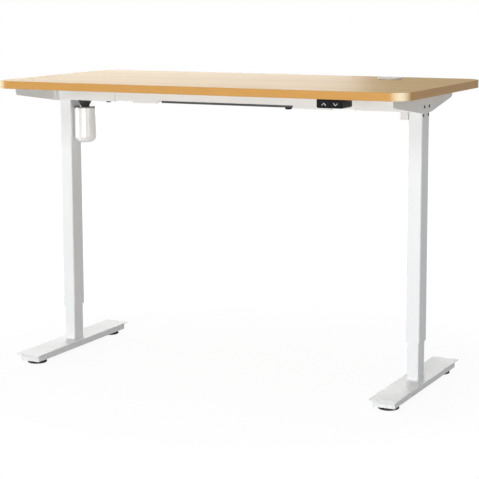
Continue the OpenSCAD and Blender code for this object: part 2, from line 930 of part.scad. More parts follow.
// The upper glide is fixed on the lower tube; it runs in the upper tube
module upper_glide(side) {
    color("#e8e8e6")
        translate([side * leg_x, leg_y, inner_top - glide_h])
            linear_extrude(glide_h)
                difference() {
                    rounded(plug_x - 2 * glide_clear, plug_y - 2 * glide_clear, outer_r - outer_wall);
                    rounded(inner_x, inner_y, inner_r);
                }
}

// The nut fills the lower tube's upper end
module nut(side) {
    color("#d8c9a0")
        translate([side * leg_x, leg_y, inner_top - nut_h])
            difference() {
                linear_extrude(nut_h) rounded(core_x, core_y, core_r);
                translate([0, 0, -cut]) cylinder(r = screw_r + run_clear, h = nut_h + 2 * cut);
            }
}

// ---- Feet ----

function foot_bolt_y() = [leg_y - foot_bolt_span / 2, leg_y + foot_bolt_span / 2];
function pad_y(end) = leg_y + end * (foot_l / 2 - pad_inset);

module foot_plate(side) {
    color("#f4f4f2")
        difference() {
            translate([side * leg_x, leg_y, foot_base_top])
                linear_extrude(foot_plate_t) rounded(foot_w, foot_l, foot_plate_r);
            for (y = foot_bolt_y())
                translate([side * leg_x, y, foot_base_top - cut])
                    cylinder(r = foot_bolt_r + fit, h = foot_plate_t + 2 * cut);
        }
}

module foot_base(side) {
    w = foot_w - 2 * foot_over_x;
    l = foot_l - 2 * foot_over_y;
    color("#efefed")
        translate([side * leg_x, leg_y, pad_lift])
            difference() {
                translate([-w / 2, -l / 2, 0]) cube([w, l, foot_base_h]);
                translate([-w / 2 + foot_wall, -l / 2 + foot_wall, foot_wall])
                    cube([w - 2 * foot_wall, l - 2 * foot_wall, foot_base_h]);
                for (end = [-1, 1])
                    translate([0, pad_y(end) - leg_y, -cut])
                        cylinder(r = stud_r + run_clear, h = foot_wall + 2 * cut);
                for (y = foot_bolt_y())
                    translate([0, y - leg_y, -cut])
                        cylinder(r = foot_bolt_r + fit, h = foot_wall + 2 * cut);
            }
}

// The end plate in the lower tube and the two bolts that draw it onto the foot
module foot_bolts(side) {
    color("#8c8c8a")
        translate([side * leg_x, leg_y, 0]) {
            translate([0, 0, foot_top]) linear_extrude(foot_end_h) rounded(core_x, core_y, core_r);
            for (y = foot_bolt_y())
                translate([0, y - leg_y, pad_lift - foot_head_h]) {
                    cylinder(r = foot_bolt_r + foot_head_w, h = foot_head_h);
                    cylinder(r = foot_bolt_r, h = foot_head_h + foot_top - pad_lift + foot_end_h);
                }
        }
}

module pad(side, end) {
    color("#1b1b1b")
        translate([side * leg_x, pad_y(end), 0])
            union() {
                rotate_extrude()
                    polygon([
                        [0, 0], [pad_r - pad_chamfer, 0], [pad_r, pad_chamfer],
                        [pad_r, pad_t - pad_chamfer], [pad_r - pad_chamfer, pad_t],
                        [stud_r + pad_hub_w, pad_lift], [0, pad_lift]
                    ]);
                cylinder(r = stud_r, h = foot_base_top - stud_room);
            }
}

// ---- Control box ----

module control_box_case() {
    color("#4c4c4e")
        difference() {
            translate([box_x - box_l / 2, leg_y - box_y / 2, box_low])
                cube([box_l, box_y, box_h - box_wall]);
            translate([box_x - box_l / 2 + box_wall, leg_y - box_y / 2 + box_wall, box_low + box_wall])
                cube([box_l - 2 * box_wall, box_y - 2 * box_wall, box_h]);
            translate([gland_x(), gland_y(), box_low - cut])
                cylinder(r = gland_r - gland_wall + fit, h = box_wall + 2 * cut);
        }
}

module control_box_lid() {
    color("#555557")
        translate([box_x - box_l / 2, leg_y - box_y / 2, box_top - box_wall])
            cube([box_l, box_y, box_wall]);
}

module control_board() {
    inset = box_wall + board_gap;
    chip_low = box_top - box_wall - chip_h;
    color("#2f6b45") {
        translate([box_x - box_l / 2 + inset, leg_y - box_y / 2 + inset, chip_low - board_t])
            cube([box_l - 2 * inset, box_y - 2 * inset, board_t]);
        for (place = chip_places)
            translate([box_x + place * box_l - chip / 2, leg_y - chip / 2, chip_low])
                cube([chip, chip, chip_h]);
    }
}

function gland_x() = box_x + box_l / 2 - gland_in;
function gland_y() = leg_y - box_y / 2 + gland_r + 1;

module cable_gland() {
    color("#141414")
        translate([gland_x(), gland_y(), box_low]) {
            translate([0, 0, -gland_drop]) cylinder(r = gland_r, h = gland_drop);
            translate([0, 0, -tiny]) cylinder(r = gland_r - gland_wall, h = box_wall + gland_lap);
        }
}

// ---- Handset ----

// The handset seen from the front, shrunk by a wall all round
module hand_outline(inset) {
    x0 = hand_x + inset;
    x1 = hand_x + hand_w - inset;
    z0 = hand_low + inset;
    r = hand_r - inset;
    translate([x0, z0 + r]) square([x1 - x0, hand_h - 2 * inset - r]);
    translate([x0 + r, z0]) square([x1 - x0 - 2 * r, hand_h - 2 * inset]);
    for (x = [x0 + r, x1 - r]) translate([x, z0 + r]) circle(r);
}

module hand_block(y0, y1, inset) {
    translate([0, y1, 0]) rotate([90, 0, 0]) linear_extrude(y1 - y0) hand_outline(inset);
}

function button_at(i) = [hand_x + button_x + i * button_pitch, button_z];

module handset_housing() {
    y0 = hand_front;
    y1 = hand_front + hand_d;
    color("#17181a")
        difference() {
            union() {
                hand_block(y0, y1, 0);
                for (x = ear_x())
                    translate([x - ear_w / 2, y1 - tiny, under_z - ear_t]) cube([ear_w, ear_w, ear_t]);
            }
            hand_block(y0 + hand_wall, y1 + cut, hand_wall);
            for (i = [0, 1])
                translate([button_at(i)[0] - button_w / 2 - button_clear, y0 - cut,
                        button_at(i)[1] - button_h / 2 - button_clear])
                    cube([button_w + 2 * button_clear, hand_wall + 2 * cut, button_h + 2 * button_clear]);
            for (x = ear_x())
                translate([x, ear_y(), under_z - ear_t - cut])
                    cylinder(r = wood_r + wood_pass, h = ear_t + 2 * cut);
        }
}

module handset_back() {
    y1 = hand_front + hand_d;
    color("#17181a") hand_block(y1 - hand_wall, y1, hand_wall + fit);
}

module handset_board() {
    z0 = button_z - board_drop;
    z1 = under_z - hand_wall;
    color("#2f6b45") {
        translate([hand_x + hand_wall, board_y, z0])
            cube([button_x + button_pitch + board_over, board_t, z1 - z0]);
        for (i = [0, 1])
            translate([button_at(i)[0], board_y + tiny, button_at(i)[1]])
                rotate([90, 0, 0]) cylinder(r = switch_r, h = switch_h);
    }
}

module button(i) {
    y0 = hand_front - button_proud;
    stem_end = board_y - switch_h - button_travel - stem_gap;
    stem_start = hand_front + hand_wall + button_flange;
    color("#1d1e20")
        translate([button_at(i)[0], 0, button_at(i)[1]])
            union() {
                translate([-button_w / 2, y0, -button_h / 2])
                    cube([button_w, hand_wall + button_proud + fit + tiny, button_h]);
                translate([-button_w / 2 - button_lap, hand_front + hand_wall + fit,
                        -button_h / 2 - button_lap])
                    cube([button_w + 2 * button_lap, button_flange, button_h + 2 * button_lap]);
                translate([0, stem_start + fit - tiny, 0])
                    rotate([-90, 0, 0]) cylinder(r = stem_r, h = stem_end - stem_start - fit);
            }
}

desktop();
edge_band();
grommet_ring();
grommet_lid();
side_bracket(-1);  // left_side_bracket
side_bracket(1);  // right_side_bracket
beam_sleeve(-1);  // left_beam_sleeve
beam_sleeve(1);  // right_beam_sleeve
beam_rail();
beam_cover();
beam_lock_screws();
gear_housing(-1, motor_housing_in, true);  // left_gear_housing
gear_housing(1, blank_housing_in, false);  // right_gear_housing
outer_tube(-1);  // left_outer_tube
outer_tube(1);  // right_outer_tube
lower_glide(-1);  // left_lower_glide
lower_glide(1);  // right_lower_glide
screw_bearings();
shaft_bearings();
motor_can();
motor_flange();
motor_neck();
motor_core();
motor_output_shaft();
motor_gear();
drive_shaft();
motor_shaft_gear();
shaft_gear(-leg_x);  // left_shaft_gear
shaft_gear(leg_x);  // right_shaft_gear
lead_screw(-1);  // left_lead_screw
screw_gear(-1);  // left_screw_gear
lead_screw(1);  // right_lead_screw
screw_gear(1);  // right_screw_gear
control_box_case();
control_box_lid();
control_board();
cable_gland();
handset_housing();
handset_back();
handset_board();
button(0);  // up_button
button(1);  // down_button
desktop_screws();
frame_screws();
inner_tube(-1);  // left_inner_tube
nut(-1);  // left_nut
upper_glide(-1);  // left_upper_glide
foot_plate(-1);  // left_foot_plate
foot_base(-1);  // left_foot_base
foot_bolts(-1);  // left_foot_bolts
pad(-1, -1);  // left_front_pad
pad(-1, 1);  // left_back_pad
inner_tube(1);  // right_inner_tube
nut(1);  // right_nut
upper_glide(1);  // right_upper_glide
foot_plate(1);  // right_foot_plate
foot_base(1);  // right_foot_base
foot_bolts(1);  // right_foot_bolts
pad(1, -1);  // right_front_pad
pad(1, 1);  // right_back_pad
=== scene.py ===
"""Height adjustable standing desk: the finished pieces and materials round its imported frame."""

import math

import bpy
from bpy.props import FloatProperty, FloatVectorProperty, PointerProperty
from mathutils import Euler, Matrix, Vector


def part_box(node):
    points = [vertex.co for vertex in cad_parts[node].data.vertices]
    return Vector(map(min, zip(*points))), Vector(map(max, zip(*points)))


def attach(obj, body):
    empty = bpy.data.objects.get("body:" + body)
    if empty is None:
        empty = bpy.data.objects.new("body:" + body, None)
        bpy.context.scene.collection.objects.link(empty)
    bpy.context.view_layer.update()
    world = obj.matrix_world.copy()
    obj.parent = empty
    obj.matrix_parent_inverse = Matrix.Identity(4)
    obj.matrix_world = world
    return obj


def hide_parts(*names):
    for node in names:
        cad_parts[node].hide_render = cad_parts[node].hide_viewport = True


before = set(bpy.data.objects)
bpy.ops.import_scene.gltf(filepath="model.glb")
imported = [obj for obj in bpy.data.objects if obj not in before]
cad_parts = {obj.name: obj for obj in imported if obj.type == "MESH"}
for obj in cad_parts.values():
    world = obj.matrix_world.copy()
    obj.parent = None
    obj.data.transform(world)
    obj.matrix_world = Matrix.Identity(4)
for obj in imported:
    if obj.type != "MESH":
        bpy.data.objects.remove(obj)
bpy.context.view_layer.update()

bl_info = {
    "name": "Standing desk",
    "version": (1, 0, 0),
    "blender": (4, 5, 0),
    "location": "View3D > Sidebar > Desk",
    "description": "Models and finishes the pieces of a height adjustable standing desk",
    "category": "Object",
}

SIDES = ("left", "right")
MIRROR = Matrix.Scale(-1, 4, (1, 0, 0))
# Faces that meet at less than this angle are shaded as one smooth surface
SMOOTH_ANGLE = math.radians(30)
# How far a point may lie from a plane and still count as on it
NEAR = 0.00005
# A direction counts as along an axis above ALONG, and as square to it below ACROSS
ALONG = 0.99
ACROSS = 0.01
# Edges shorter than this are taken away, and points nearer than WELD are made one
SLIVER = 0.000005
WELD = 0.000001
# Gap between faces that turn or slide past each other
RUN_GAP = 0.0001
# How far a cutter reaches past the piece
SPARE = 0.01
# The parts of a noise's range that patterns use
SOFT_RANGE = (0.35, 0.65)
FULL_RANGE = (0.3, 0.7)


def length(name, description, default):
    """A property for a size in metres"""
    return FloatProperty(
        name=name, description=description, default=default, min=0, unit="LENGTH", precision=5
    )


def shade(name, description, default):
    """A property for a colour"""
    return FloatVectorProperty(
        name=name, description=description, default=default, size=3, min=0, max=1, subtype="COLOR"
    )


def strength(name, description, default):
    """A property for a lamp's power or a world's strength"""
    return FloatProperty(name=name, description=description, default=default, min=0)


class DeskSizes(bpy.types.PropertyGroup):
    """Sizes of the finished pieces that the frame's boxes don't give"""

    top_corner: length("Top corner", "Radius of the desktop's corners, seen from above", 0.05)
    band: length("Edge band", "Thickness of the edge band", 0.002)
    band_arris: length("Band arris", "Radius of the band's outer edges", 0.0012)
    board_arris: length("Board arris", "Radius of the board's edges against the band", 0.00025)
    rim: length("Grommet rim", "Width of the grommet's rim beyond its hole", 0.003)
    grommet_wall: length("Grommet wall", "Wall of the grommet's sleeve", 0.002)
    notch: length("Lid notch", "Width of the cable notch in the lid", 0.016)
    sheet: length("Bracket sheet", "Sheet thickness of the side brackets", 0.0025)
    bracket_mid: length("Bracket middle", "Half length of the bracket's straight lower edge", 0.034)
    bracket_end: length("Bracket end", "Height of the bracket at its ends", 0.019)
    bracket_corner: length("Bracket corner", "Radius of the bracket's lower corners", 0.009)
    beam_wall: length("Beam wall", "Wall of the beam's channels", 0.002)
    bend: length("Bend", "Outer radius of the bends in the beam's sheet", 0.0032)
    lip: length("Lip", "Width of the lips under the beam", 0.012)
    sleeve_lip: length("Sleeve lip", "Length of the lips under the sleeves' inner ends", 0.06)
    end_plate: length("End plate", "Thickness of the plate at the sleeve's outer end", 0.002)
    end_flange: length("End flange", "Depth of that plate beyond the sleeve, on each side", 0.02)
    cover_wall: length("Cover wall", "Wall of the cover", 0.0015)
    cover_corner: length("Cover corner", "Corner radius of the cover, seen from above", 0.007)
    window: length("Window height", "Height of the window in the beam, above the rail's lower edge", 0.005)
    tube_wall: length("Tube wall", "Wall of the leg tubes", 0.0015)
    outer_corner: length("Upper tube corner", "Corner radius of the wide upper tube", 0.004)
    inner_corner: length("Lower tube corner", "Corner radius of the narrow lower tube", 0.003)
    foot_wall: length("Foot wall", "Wall of the foot's box section", 0.0025)
    foot_corner: length("Foot corner", "Corner radius of the foot's plate, seen from above", 0.003)
    foot_bend: length("Foot bend", "Outer radius of the bends in the foot's box section", 0.0022)
    pad_disc: length("Pad disc", "Thickness of the levelling pad's disc", 0.005)
    stud: length("Stud", "Radius of the pad's threaded stud", 0.004)
    motor_wall: length("Can wall", "Wall of the motor's can", 0.0015)
    motor_round: length("Can round", "Radius of the round at the can's lower end", 0.02)
    neck_low: length("Neck foot", "Lower radius of the neck", 0.0115)
    m6_off: length("Frame screws apart", "Distance of the frame screws from the leg's middle", 0.018)
    m6_up: length("Upper frame screws", "Rise of the bracket's screws above the sleeve's lower edge", 0.014)
    m6_down: length("Lower frame screws", "Depth of the leg's screws under the sleeve's lower edge", 0.008)
    m6_head: length("Frame screw head", "Radius of the frame screws' heads", 0.004)
    m6_head_h: length("Frame screw head height", "Height of the frame screws' heads", 0.0012)
    lock_inset: length("Lock screw inset", "Distance of the lock screws from the sleeve's inner end", 0.024)
    lock_head: length("Lock screw head", "Radius of the lock screws' heads", 0.007)
    hand_wall: length("Handset wall", "Wall of the handset", 0.002)
    hand_corner: length("Handset corner", "Radius of the handset's lower corners, from the front", 0.004)
    hand_depth: length("Handset depth", "Depth of the handset without its ears", 0.058)
    ear: length("Ear", "Width of the handset's two screw ears", 0.014)
    ear_t: length("Ear thickness", "Thickness of those ears", 0.003)
    chevron_w: length("Chevron width", "Width of the arrows on the buttons", 0.0112)
    chevron_h: length("Chevron height", "Height of the arrows on the buttons", 0.0072)
    chevron_line: length("Chevron line", "Height of the arrows' line", 0.0017)


class DeskColours(bpy.types.PropertyGroup):
    """Colours of the desk's finishes"""

    laminate: shade("Laminate", "Lighter tone of the desktop's laminate", (0.62, 0.37, 0.065))
    laminate_grain: shade("Laminate grain", "Darker tone of the laminate's grain", (0.55, 0.315, 0.045))
    band: shade("Edge band", "Lighter tone of the edge band", (0.6, 0.32, 0.095))
    band_grain: shade("Edge band grain", "Darker tone of the edge band's grain", (0.5, 0.25, 0.062))
    # Painted highlight: a paler tone on the edge band at the desktop's rounded corners
    band_painted_highlight: shade("Bent edge band", "Paler tone of the edge band where it bends", (1.0, 0.87, 0.62))
    white: shade("White coat", "Powder coat of the metalwork", (0.84, 0.855, 0.865))
    can: shade("Can", "Gloss paint of the motor's can", (0.86, 0.86, 0.855))
    plastic: shade("White plastic", "Grommet and glides", (0.88, 0.88, 0.87))
    casting: shade("Gear box", "Painted casting of the gear boxes", (0.8, 0.8, 0.79))
    dark: shade("Dark metal", "The motor's neck", (0.045, 0.045, 0.048))
    # Painted shade: the flange's mid grey, darker than the white can, copies the shaded look of the can's
    # top
    flange: shade("Flange", "The motor's flange", (0.3, 0.3, 0.305))
    black: shade("Black plastic", "Handset and gland", (0.008, 0.0085, 0.0095))
    arrow: shade("Arrows", "The arrows on the buttons", (0.72, 0.73, 0.74))
    rubber: shade("Rubber", "The levelling pads", (0.012, 0.012, 0.013))
    box: shade("Control box", "Plastic of the control box", (0.055, 0.056, 0.06))
    steel: shade("Steel", "Zinc plated steel", (0.56, 0.56, 0.55))
    oxide: shade("Black oxide", "The screws that show", (0.03, 0.03, 0.032))
    brass: shade("Brass", "The gears", (0.66, 0.46, 0.18))
    nylon: shade("Nylon", "The nuts", (0.62, 0.53, 0.36))
    mask: shade("Circuit board", "Solder mask of the boards", (0.012, 0.09, 0.04))
    track: shade("Tracks", "Solder mask where it covers a track", (0.03, 0.17, 0.07))
    winding: shade("Windings", "Copper in the motor's core", (0.2, 0.1, 0.06))
    lamination: shade("Laminations", "Steel in the motor's core", (0.08, 0.08, 0.085))


class DeskStage(bpy.types.PropertyGroup):
    """The lamps and the surround"""

    surround: strength("Surround", "Strength of the even light from all round", 0.22)
    left: strength("Left", "Power of the lamp at the far left, in watts", 36)
    front: strength("Front", "Power of the low lamp in front, in watts", 81)
    high_front: strength("High front", "Power of the lamp high in front, in watts", 28)
    overhead: strength("Overhead", "Power of the lamp over the desktop, in watts", 10)
    back: strength("Back", "Power of the lamp behind the left end, in watts", 23.5)
    low_back: strength("Low back", "Power of the low lamp behind the feet, in watts", 7)
    strip: strength("Strip", "Power of the tall narrow lamp at the right, in watts", 11)


# ---- Modelling helpers ----


def fresh():
    """Leaves edit mode and deselects everything"""
    if bpy.context.mode != "OBJECT":
        bpy.ops.object.mode_set(mode="OBJECT")
    bpy.ops.object.select_all(action="DESELECT")


def only(piece):
    """Makes the piece the active object and the only one selected"""
    fresh()
    piece.select_set(True)
    bpy.context.view_layer.objects.active = piece


def named(name):
    """Gives the new object its name, and puts its place and size into its mesh"""
    piece = bpy.context.object
    piece.name = name
    piece.data.name = name
    bpy.ops.object.transform_apply(location=True, rotation=True, scale=True)
    return piece


def block(name, low, high):
    """A box between two corners, as a start"""
    fresh()
    low = Vector(low)
    high = Vector(high)
    bpy.ops.mesh.primitive_cube_add(size=1, location=(low + high) / 2, scale=high - low)
    return named(name)


def bar(name, foot, radius, tall, sides=64):
    """An upright cylinder on its foot's centre, as a start"""
    fresh()
    middle = Vector(foot) + Vector((0, 0, tall / 2))
    bpy.ops.mesh.primitive_cylinder_add(vertices=sides, radius=radius, depth=tall, location=middle)
    return named(name)


def pick(piece, kind, test):
    """Enters edit mode with only those faces, edges or vertices selected that pass the test of
    their place and their normal or direction"""
    only(piece)
    bpy.ops.object.mode_set(mode="EDIT")
    bpy.ops.mesh.select_mode(type=kind)
    bpy.ops.mesh.select_all(action="DESELECT")
    bpy.ops.object.mode_set(mode="OBJECT")
    mesh = piece.data
    if kind == "FACE":
        for face in mesh.polygons:
            face.select = test(face.center, face.normal)
    elif kind == "EDGE":
        for edge in mesh.edges:
            start, end = (mesh.vertices[i].co for i in edge.vertices)
            edge.select = test((start + end) / 2, (end - start).normalized())
    else:
        for vertex in mesh.vertices:
            vertex.select = test(vertex.co, vertex.normal)
    bpy.ops.object.mode_set(mode="EDIT")


def upright(place, way):
    """True for an upright edge"""
    return abs(way.z) > ALONG


def level(place, way):
    """True for a level edge"""
    return abs(way.z) < ACROSS


def along_x(place, way):
    """True for an edge along X"""
    return abs(way.x) > ALONG


def along_y(place, way):
    """True for an edge along Y"""
    return abs(way.y) > ALONG


def at_foot(low):
    """A test for the level edges at the low corner's height"""
    return lambda place, way: level(place, way) and place.z < low.z + NEAR


def at_front(low):
    """A test for the edges round the face in front, at the low corner"""
    return lambda place, way: place.y < low.y + NEAR and abs(way.y) < ACROSS


def round_edges(piece, radius, test, segments=5):
    """Rounds the edges that pass the test"""
    pick(piece, "EDGE", test)
    bpy.ops.mesh.bevel(offset=radius, offset_type="OFFSET", segments=segments, affect="EDGES")
    fresh()


def delete_faces(piece, test):
    """Deletes the faces that pass the test"""
    pick(piece, "FACE", test)
    bpy.ops.mesh.delete(type="FACE")
    fresh()


def slice_at(piece, place, normal, fill=False, clear_outer=False):
    """Cuts the piece along a plane, and may take away what lies in front of it"""
    only(piece)
    bpy.ops.object.mode_set(mode="EDIT")
    bpy.ops.mesh.select_all(action="SELECT")
    bpy.ops.mesh.bisect(plane_co=place, plane_no=normal, use_fill=fill, clear_outer=clear_outer)
    fresh()


def extrude(piece, kind, test, move):
    """Extrudes what passes the test"""
    pick(piece, kind, test)
    bpy.ops.mesh.extrude_region_move(TRANSFORM_OT_translate={"value": move})
    fresh()


def apply_modifier(piece, kind, **settings):
    """Adds a modifier with these settings and applies it"""
    only(piece)
    modifier = piece.modifiers.new(kind.title(), kind)
    for key, value in settings.items():
        setattr(modifier, key, value)
    bpy.ops.object.modifier_apply(modifier=modifier.name)


def thicken(piece, wall):
    """Gives a sheet its wall, on its inner side"""
    apply_modifier(piece, "SOLIDIFY", thickness=wall, offset=-1, use_even_offset=True)


def drop_slivers(piece):
    """Takes away edges without length and faces without area"""
    only(piece)
    bpy.ops.object.mode_set(mode="EDIT")
    bpy.ops.mesh.select_mode(type="VERT")
    bpy.ops.mesh.select_all(action="SELECT")
    bpy.ops.mesh.dissolve_degenerate(threshold=SLIVER)
    fresh()


def soften(piece, radius, segments=2):
    """Rounds every sharp edge a little"""
    drop_slivers(piece)
    apply_modifier(
        piece, "BEVEL", width=radius, segments=segments, limit_method="ANGLE",
        angle_limit=SMOOTH_ANGLE, harden_normals=False, miter_outer="MITER_ARC"
    )
    drop_slivers(piece)


def cut_away(piece, cutter, operation="DIFFERENCE"):
    """Cuts the cutter's shape out of the piece, or melts it in, and deletes the cutter"""
    apply_modifier(piece, "BOOLEAN", operation=operation, object=cutter, solver="EXACT")
    bpy.data.objects.remove(cutter)


def joined(name, pieces):
    """One piece of that name, made of several"""
    fresh()
    for piece in pieces:
        piece.select_set(True)
    whole = pieces[0]
    bpy.context.view_layer.objects.active = whole
    bpy.ops.object.join()
    whole.name = name
    whole.data.name = name
    return whole


def copied(piece, name, matrix):
    """A copy with its own mesh, moved by that matrix"""
    twin = piece.copy()
    twin.data = piece.data.copy()
    twin.name = name
    twin.data.name = name
    twin.data.transform(matrix)
    bpy.context.scene.collection.objects.link(twin)
    if matrix.determinant() < 0:
        twin.data.flip_normals()
    return twin


def arc(centre, radius, start, end, steps):
    """Points on an arc in the (radius, height) plane, angles in degrees"""
    angles = [math.radians(start + (end - start) * i / steps) for i in range(steps + 1)]
    return [(centre[0] + radius * math.cos(a), centre[1] + radius * math.sin(a)) for a in angles]


def turned(name, place, outline, steps=96, closed=False):
    """A piece turned on an upright axis through the place, from (radius, height) points"""
    points = outline + outline[:1] if closed else outline
    fresh()
    bpy.ops.mesh.primitive_plane_add(size=0.001, location=(0, 0, 0))
    bpy.ops.object.mode_set(mode="EDIT")
    bpy.ops.mesh.select_mode(type="VERT")
    bpy.ops.mesh.select_all(action="SELECT")
    bpy.ops.mesh.merge(type="CENTER")
    bpy.ops.transform.translate(value=(points[0][0], 0, points[0][1]))
    for (r0, z0), (r1, z1) in zip(points, points[1:]):
        bpy.ops.mesh.extrude_region_move(TRANSFORM_OT_translate={"value": (r1 - r0, 0, z1 - z0)})
    bpy.ops.mesh.select_all(action="SELECT")
    bpy.ops.mesh.spin(steps=steps, angle=2 * math.pi, center=(0, 0, 0), axis=(0, 0, 1))
    bpy.ops.mesh.select_all(action="SELECT")
    bpy.ops.mesh.remove_doubles(threshold=WELD)
    bpy.ops.mesh.normals_make_consistent(inside=False)
    fresh()
    piece = bpy.context.view_layer.objects.active
    piece.location = place
    only(piece)
    return named(name)


def middle_of(node):
    """The middle of a node's box"""
    low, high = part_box(node)
    return (low + high) / 2


def axis_of(node):
    """The place on the ground under the middle of a node's box"""
    middle = middle_of(node)
    return Vector((middle.x, middle.y, 0))


def radius_of(node):
    """The radius of a round node's box"""
    low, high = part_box(node)
    return (high.x - low.x) / 2


# ---- Finishes ----


def darker(colour, share):
    """A darker tone of a colour"""
    return tuple(c * share for c in colour)


class Finish:
    """A material with a Principled shader, and short calls that build its nodes"""

    def __init__(self, name, colour, roughness, metallic=0.0, specular=0.5):
        self.material = bpy.data.materials.new(name)
        self.material.use_nodes = True
        self.nodes = self.material.node_tree.nodes
        self.shader = self.nodes["Principled BSDF"]
        self.shader.inputs["Base Color"].default_value = (*colour, 1)
        self.shader.inputs["Roughness"].default_value = roughness
        self.shader.inputs["Metallic"].default_value = metallic
        self.shader.inputs["Specular IOR Level"].default_value = specular
        self.place = self.nodes.new("ShaderNodeTexCoord").outputs["Object"]

    def link(self, source, target):
        """Links an output to an input"""
        self.material.node_tree.links.new(source, target)

    def noise(self, stretch, detail=2.0, roughness=0.5):
        """A noise whose scale along each axis, per metre, is given by stretch"""
        mapping = self.nodes.new("ShaderNodeMapping")
        mapping.inputs["Scale"].default_value = stretch
        self.link(self.place, mapping.inputs["Vector"])
        noise = self.nodes.new("ShaderNodeTexNoise")
        noise.inputs["Scale"].default_value = 1
        noise.inputs["Detail"].default_value = detail
        noise.inputs["Roughness"].default_value = roughness
        self.link(mapping.outputs["Vector"], noise.inputs["Vector"])
        return noise.outputs[0]

    def between(self, value, low, high, new_low=0.0, new_high=1.0):
        """Maps a value's range onto a new one"""
        node = self.nodes.new("ShaderNodeMapRange")
        node.inputs["From Min"].default_value = low
        node.inputs["From Max"].default_value = high
        node.inputs["To Min"].default_value = new_low
        node.inputs["To Max"].default_value = new_high
        self.link(value, node.inputs["Value"])
        return node.outputs["Result"]

    def combine(self, first, second, operation="ADD"):
        """Adds two values, or joins them by another operation, within 0 to 1"""
        node = self.nodes.new("ShaderNodeMath")
        node.operation = operation
        node.use_clamp = True
        self.link(first, node.inputs[0])
        self.link(second, node.inputs[1])
        return node.outputs["Value"]

    def blend(self, share, first, second):
        """A colour between two others, each of them a colour or a node's output"""
        node = self.nodes.new("ShaderNodeMix")
        node.data_type = "RGBA"
        sockets = [socket for socket in node.inputs if socket.type == "RGBA"]
        for socket, colour in zip(sockets, (first, second)):
            if isinstance(colour, bpy.types.NodeSocket):
                self.link(colour, socket)
            else:
                socket.default_value = (*colour, 1)
        self.link(share, node.inputs["Factor"])
        return [socket for socket in node.outputs if socket.type == "RGBA"][0]

    def paint(self, colour):
        """Sets the base colour from a node"""
        self.link(colour, self.shader.inputs["Base Color"])

    def gloss(self, value):
        """Sets the roughness from a node"""
        self.link(value, self.shader.inputs["Roughness"])

    def mottle(self, pattern, part, colour, share, smooth, rough):
        """Darkens the colour by that share and varies the roughness with a pattern"""
        self.paint(self.blend(self.between(pattern, *part), colour, darker(colour, share)))
        self.gloss(self.between(pattern, *part, smooth, rough))

    def emboss(self, height, deep, share=1.0):
        """Raises the surface by a height map of that depth, in metres"""
        bump = self.nodes.new("ShaderNodeBump")
        bump.inputs["Strength"].default_value = share
        bump.inputs["Distance"].default_value = deep
        self.link(height, bump.inputs["Height"])
        self.link(bump.outputs["Normal"], self.shader.inputs["Normal"])


def laminate(colours):
    """Light wood print under a satin overlay, with long fine grain along X and short flecks"""
    finish = Finish("light_wood_laminate", colours.laminate, 0.42, specular=0.12)
    cathedral = finish.between(finish.noise((1.1, 17, 17), detail=5, roughness=0.62), 0.34, 0.68)
    streaks = finish.between(finish.noise((5, 260, 40), detail=3, roughness=0.6), 0.4, 0.72, 0, 0.45)
    flecks = finish.between(finish.noise((90, 1100, 90), detail=1, roughness=0.5), 0.66, 0.76, 0, 0.35)
    share = finish.combine(finish.combine(cathedral, streaks), flecks)
    finish.paint(finish.blend(share, colours.laminate, colours.laminate_grain))
    finish.gloss(finish.between(streaks, 0, 0.45, 0.4, 0.47))
    finish.emboss(streaks, deep=0.00004, share=0.5)
    return finish.material


def edge_tape(colours, radius):
    """Wood print edge band, whose grain runs round the desktop, with a painted highlight: a paler tone at
    its four rounded corners
    """
    finish = Finish("wood_edge_band", colours.band, 0.3, specular=0.1)
    lines = finish.between(finish.noise((3.5, 3.5, 420), detail=4, roughness=0.6), 0.36, 0.68)
    cloud = finish.between(finish.noise((9, 9, 90), detail=2, roughness=0.5), *FULL_RANGE, 0, 0.4)
    print_tone = finish.blend(finish.combine(lines, cloud, "MULTIPLY"), colours.band, colours.band_grain)
    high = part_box("edge_band")[1]
    split = finish.nodes.new("ShaderNodeSeparateXYZ")
    finish.link(finish.place, split.inputs[0])
    ways = []
    for axis, reach in (("X", high.x), ("Y", high.y)):
        far = finish.nodes.new("ShaderNodeMath")
        far.operation = "ABSOLUTE"
        finish.link(split.outputs[axis], far.inputs[0])
        ways.append(finish.between(far.outputs["Value"], reach - radius, reach))
    # Painted highlight: the band's tone turns paler inside each rounded corner
    bend = finish.between(finish.combine(*ways, "MULTIPLY"), 0.2, 0.5, 0, 0.9)
    finish.paint(finish.blend(bend, print_tone, colours.band_painted_highlight))
    finish.gloss(finish.between(lines, 0, 1, 0.27, 0.34))
    finish.emboss(lines, deep=0.00003, share=0.4)
    return finish.material


def powder_coat(name, colour, roughness):
    """Powder coat with its fine orange peel"""
    finish = Finish(name, colour, roughness, specular=0.35)
    peel = finish.noise((620, 620, 620), detail=3, roughness=0.55)
    haze = finish.noise((7, 7, 7), detail=2, roughness=0.5)
    finish.mottle(haze, SOFT_RANGE, colour, 0.975, roughness - 0.03, roughness + 0.03)
    finish.emboss(peel, deep=0.00003, share=0.45)
    return finish.material


def gloss_paint(colours):
    """Smooth gloss paint of the motor's can"""
    finish = Finish("gloss_white_paint", colours.can, 0.24)
    haze = finish.noise((11, 11, 11), detail=2, roughness=0.5)
    finish.mottle(haze, SOFT_RANGE, colours.can, 0.98, 0.22, 0.27)
    finish.emboss(finish.noise((160, 160, 160), detail=2, roughness=0.5), deep=0.00004, share=0.3)
    finish.shader.inputs["Coat Weight"].default_value = 0.8
    finish.shader.inputs["Coat Roughness"].default_value = 0.24
    finish.shader.inputs["Coat IOR"].default_value = 2.1
    return finish.material


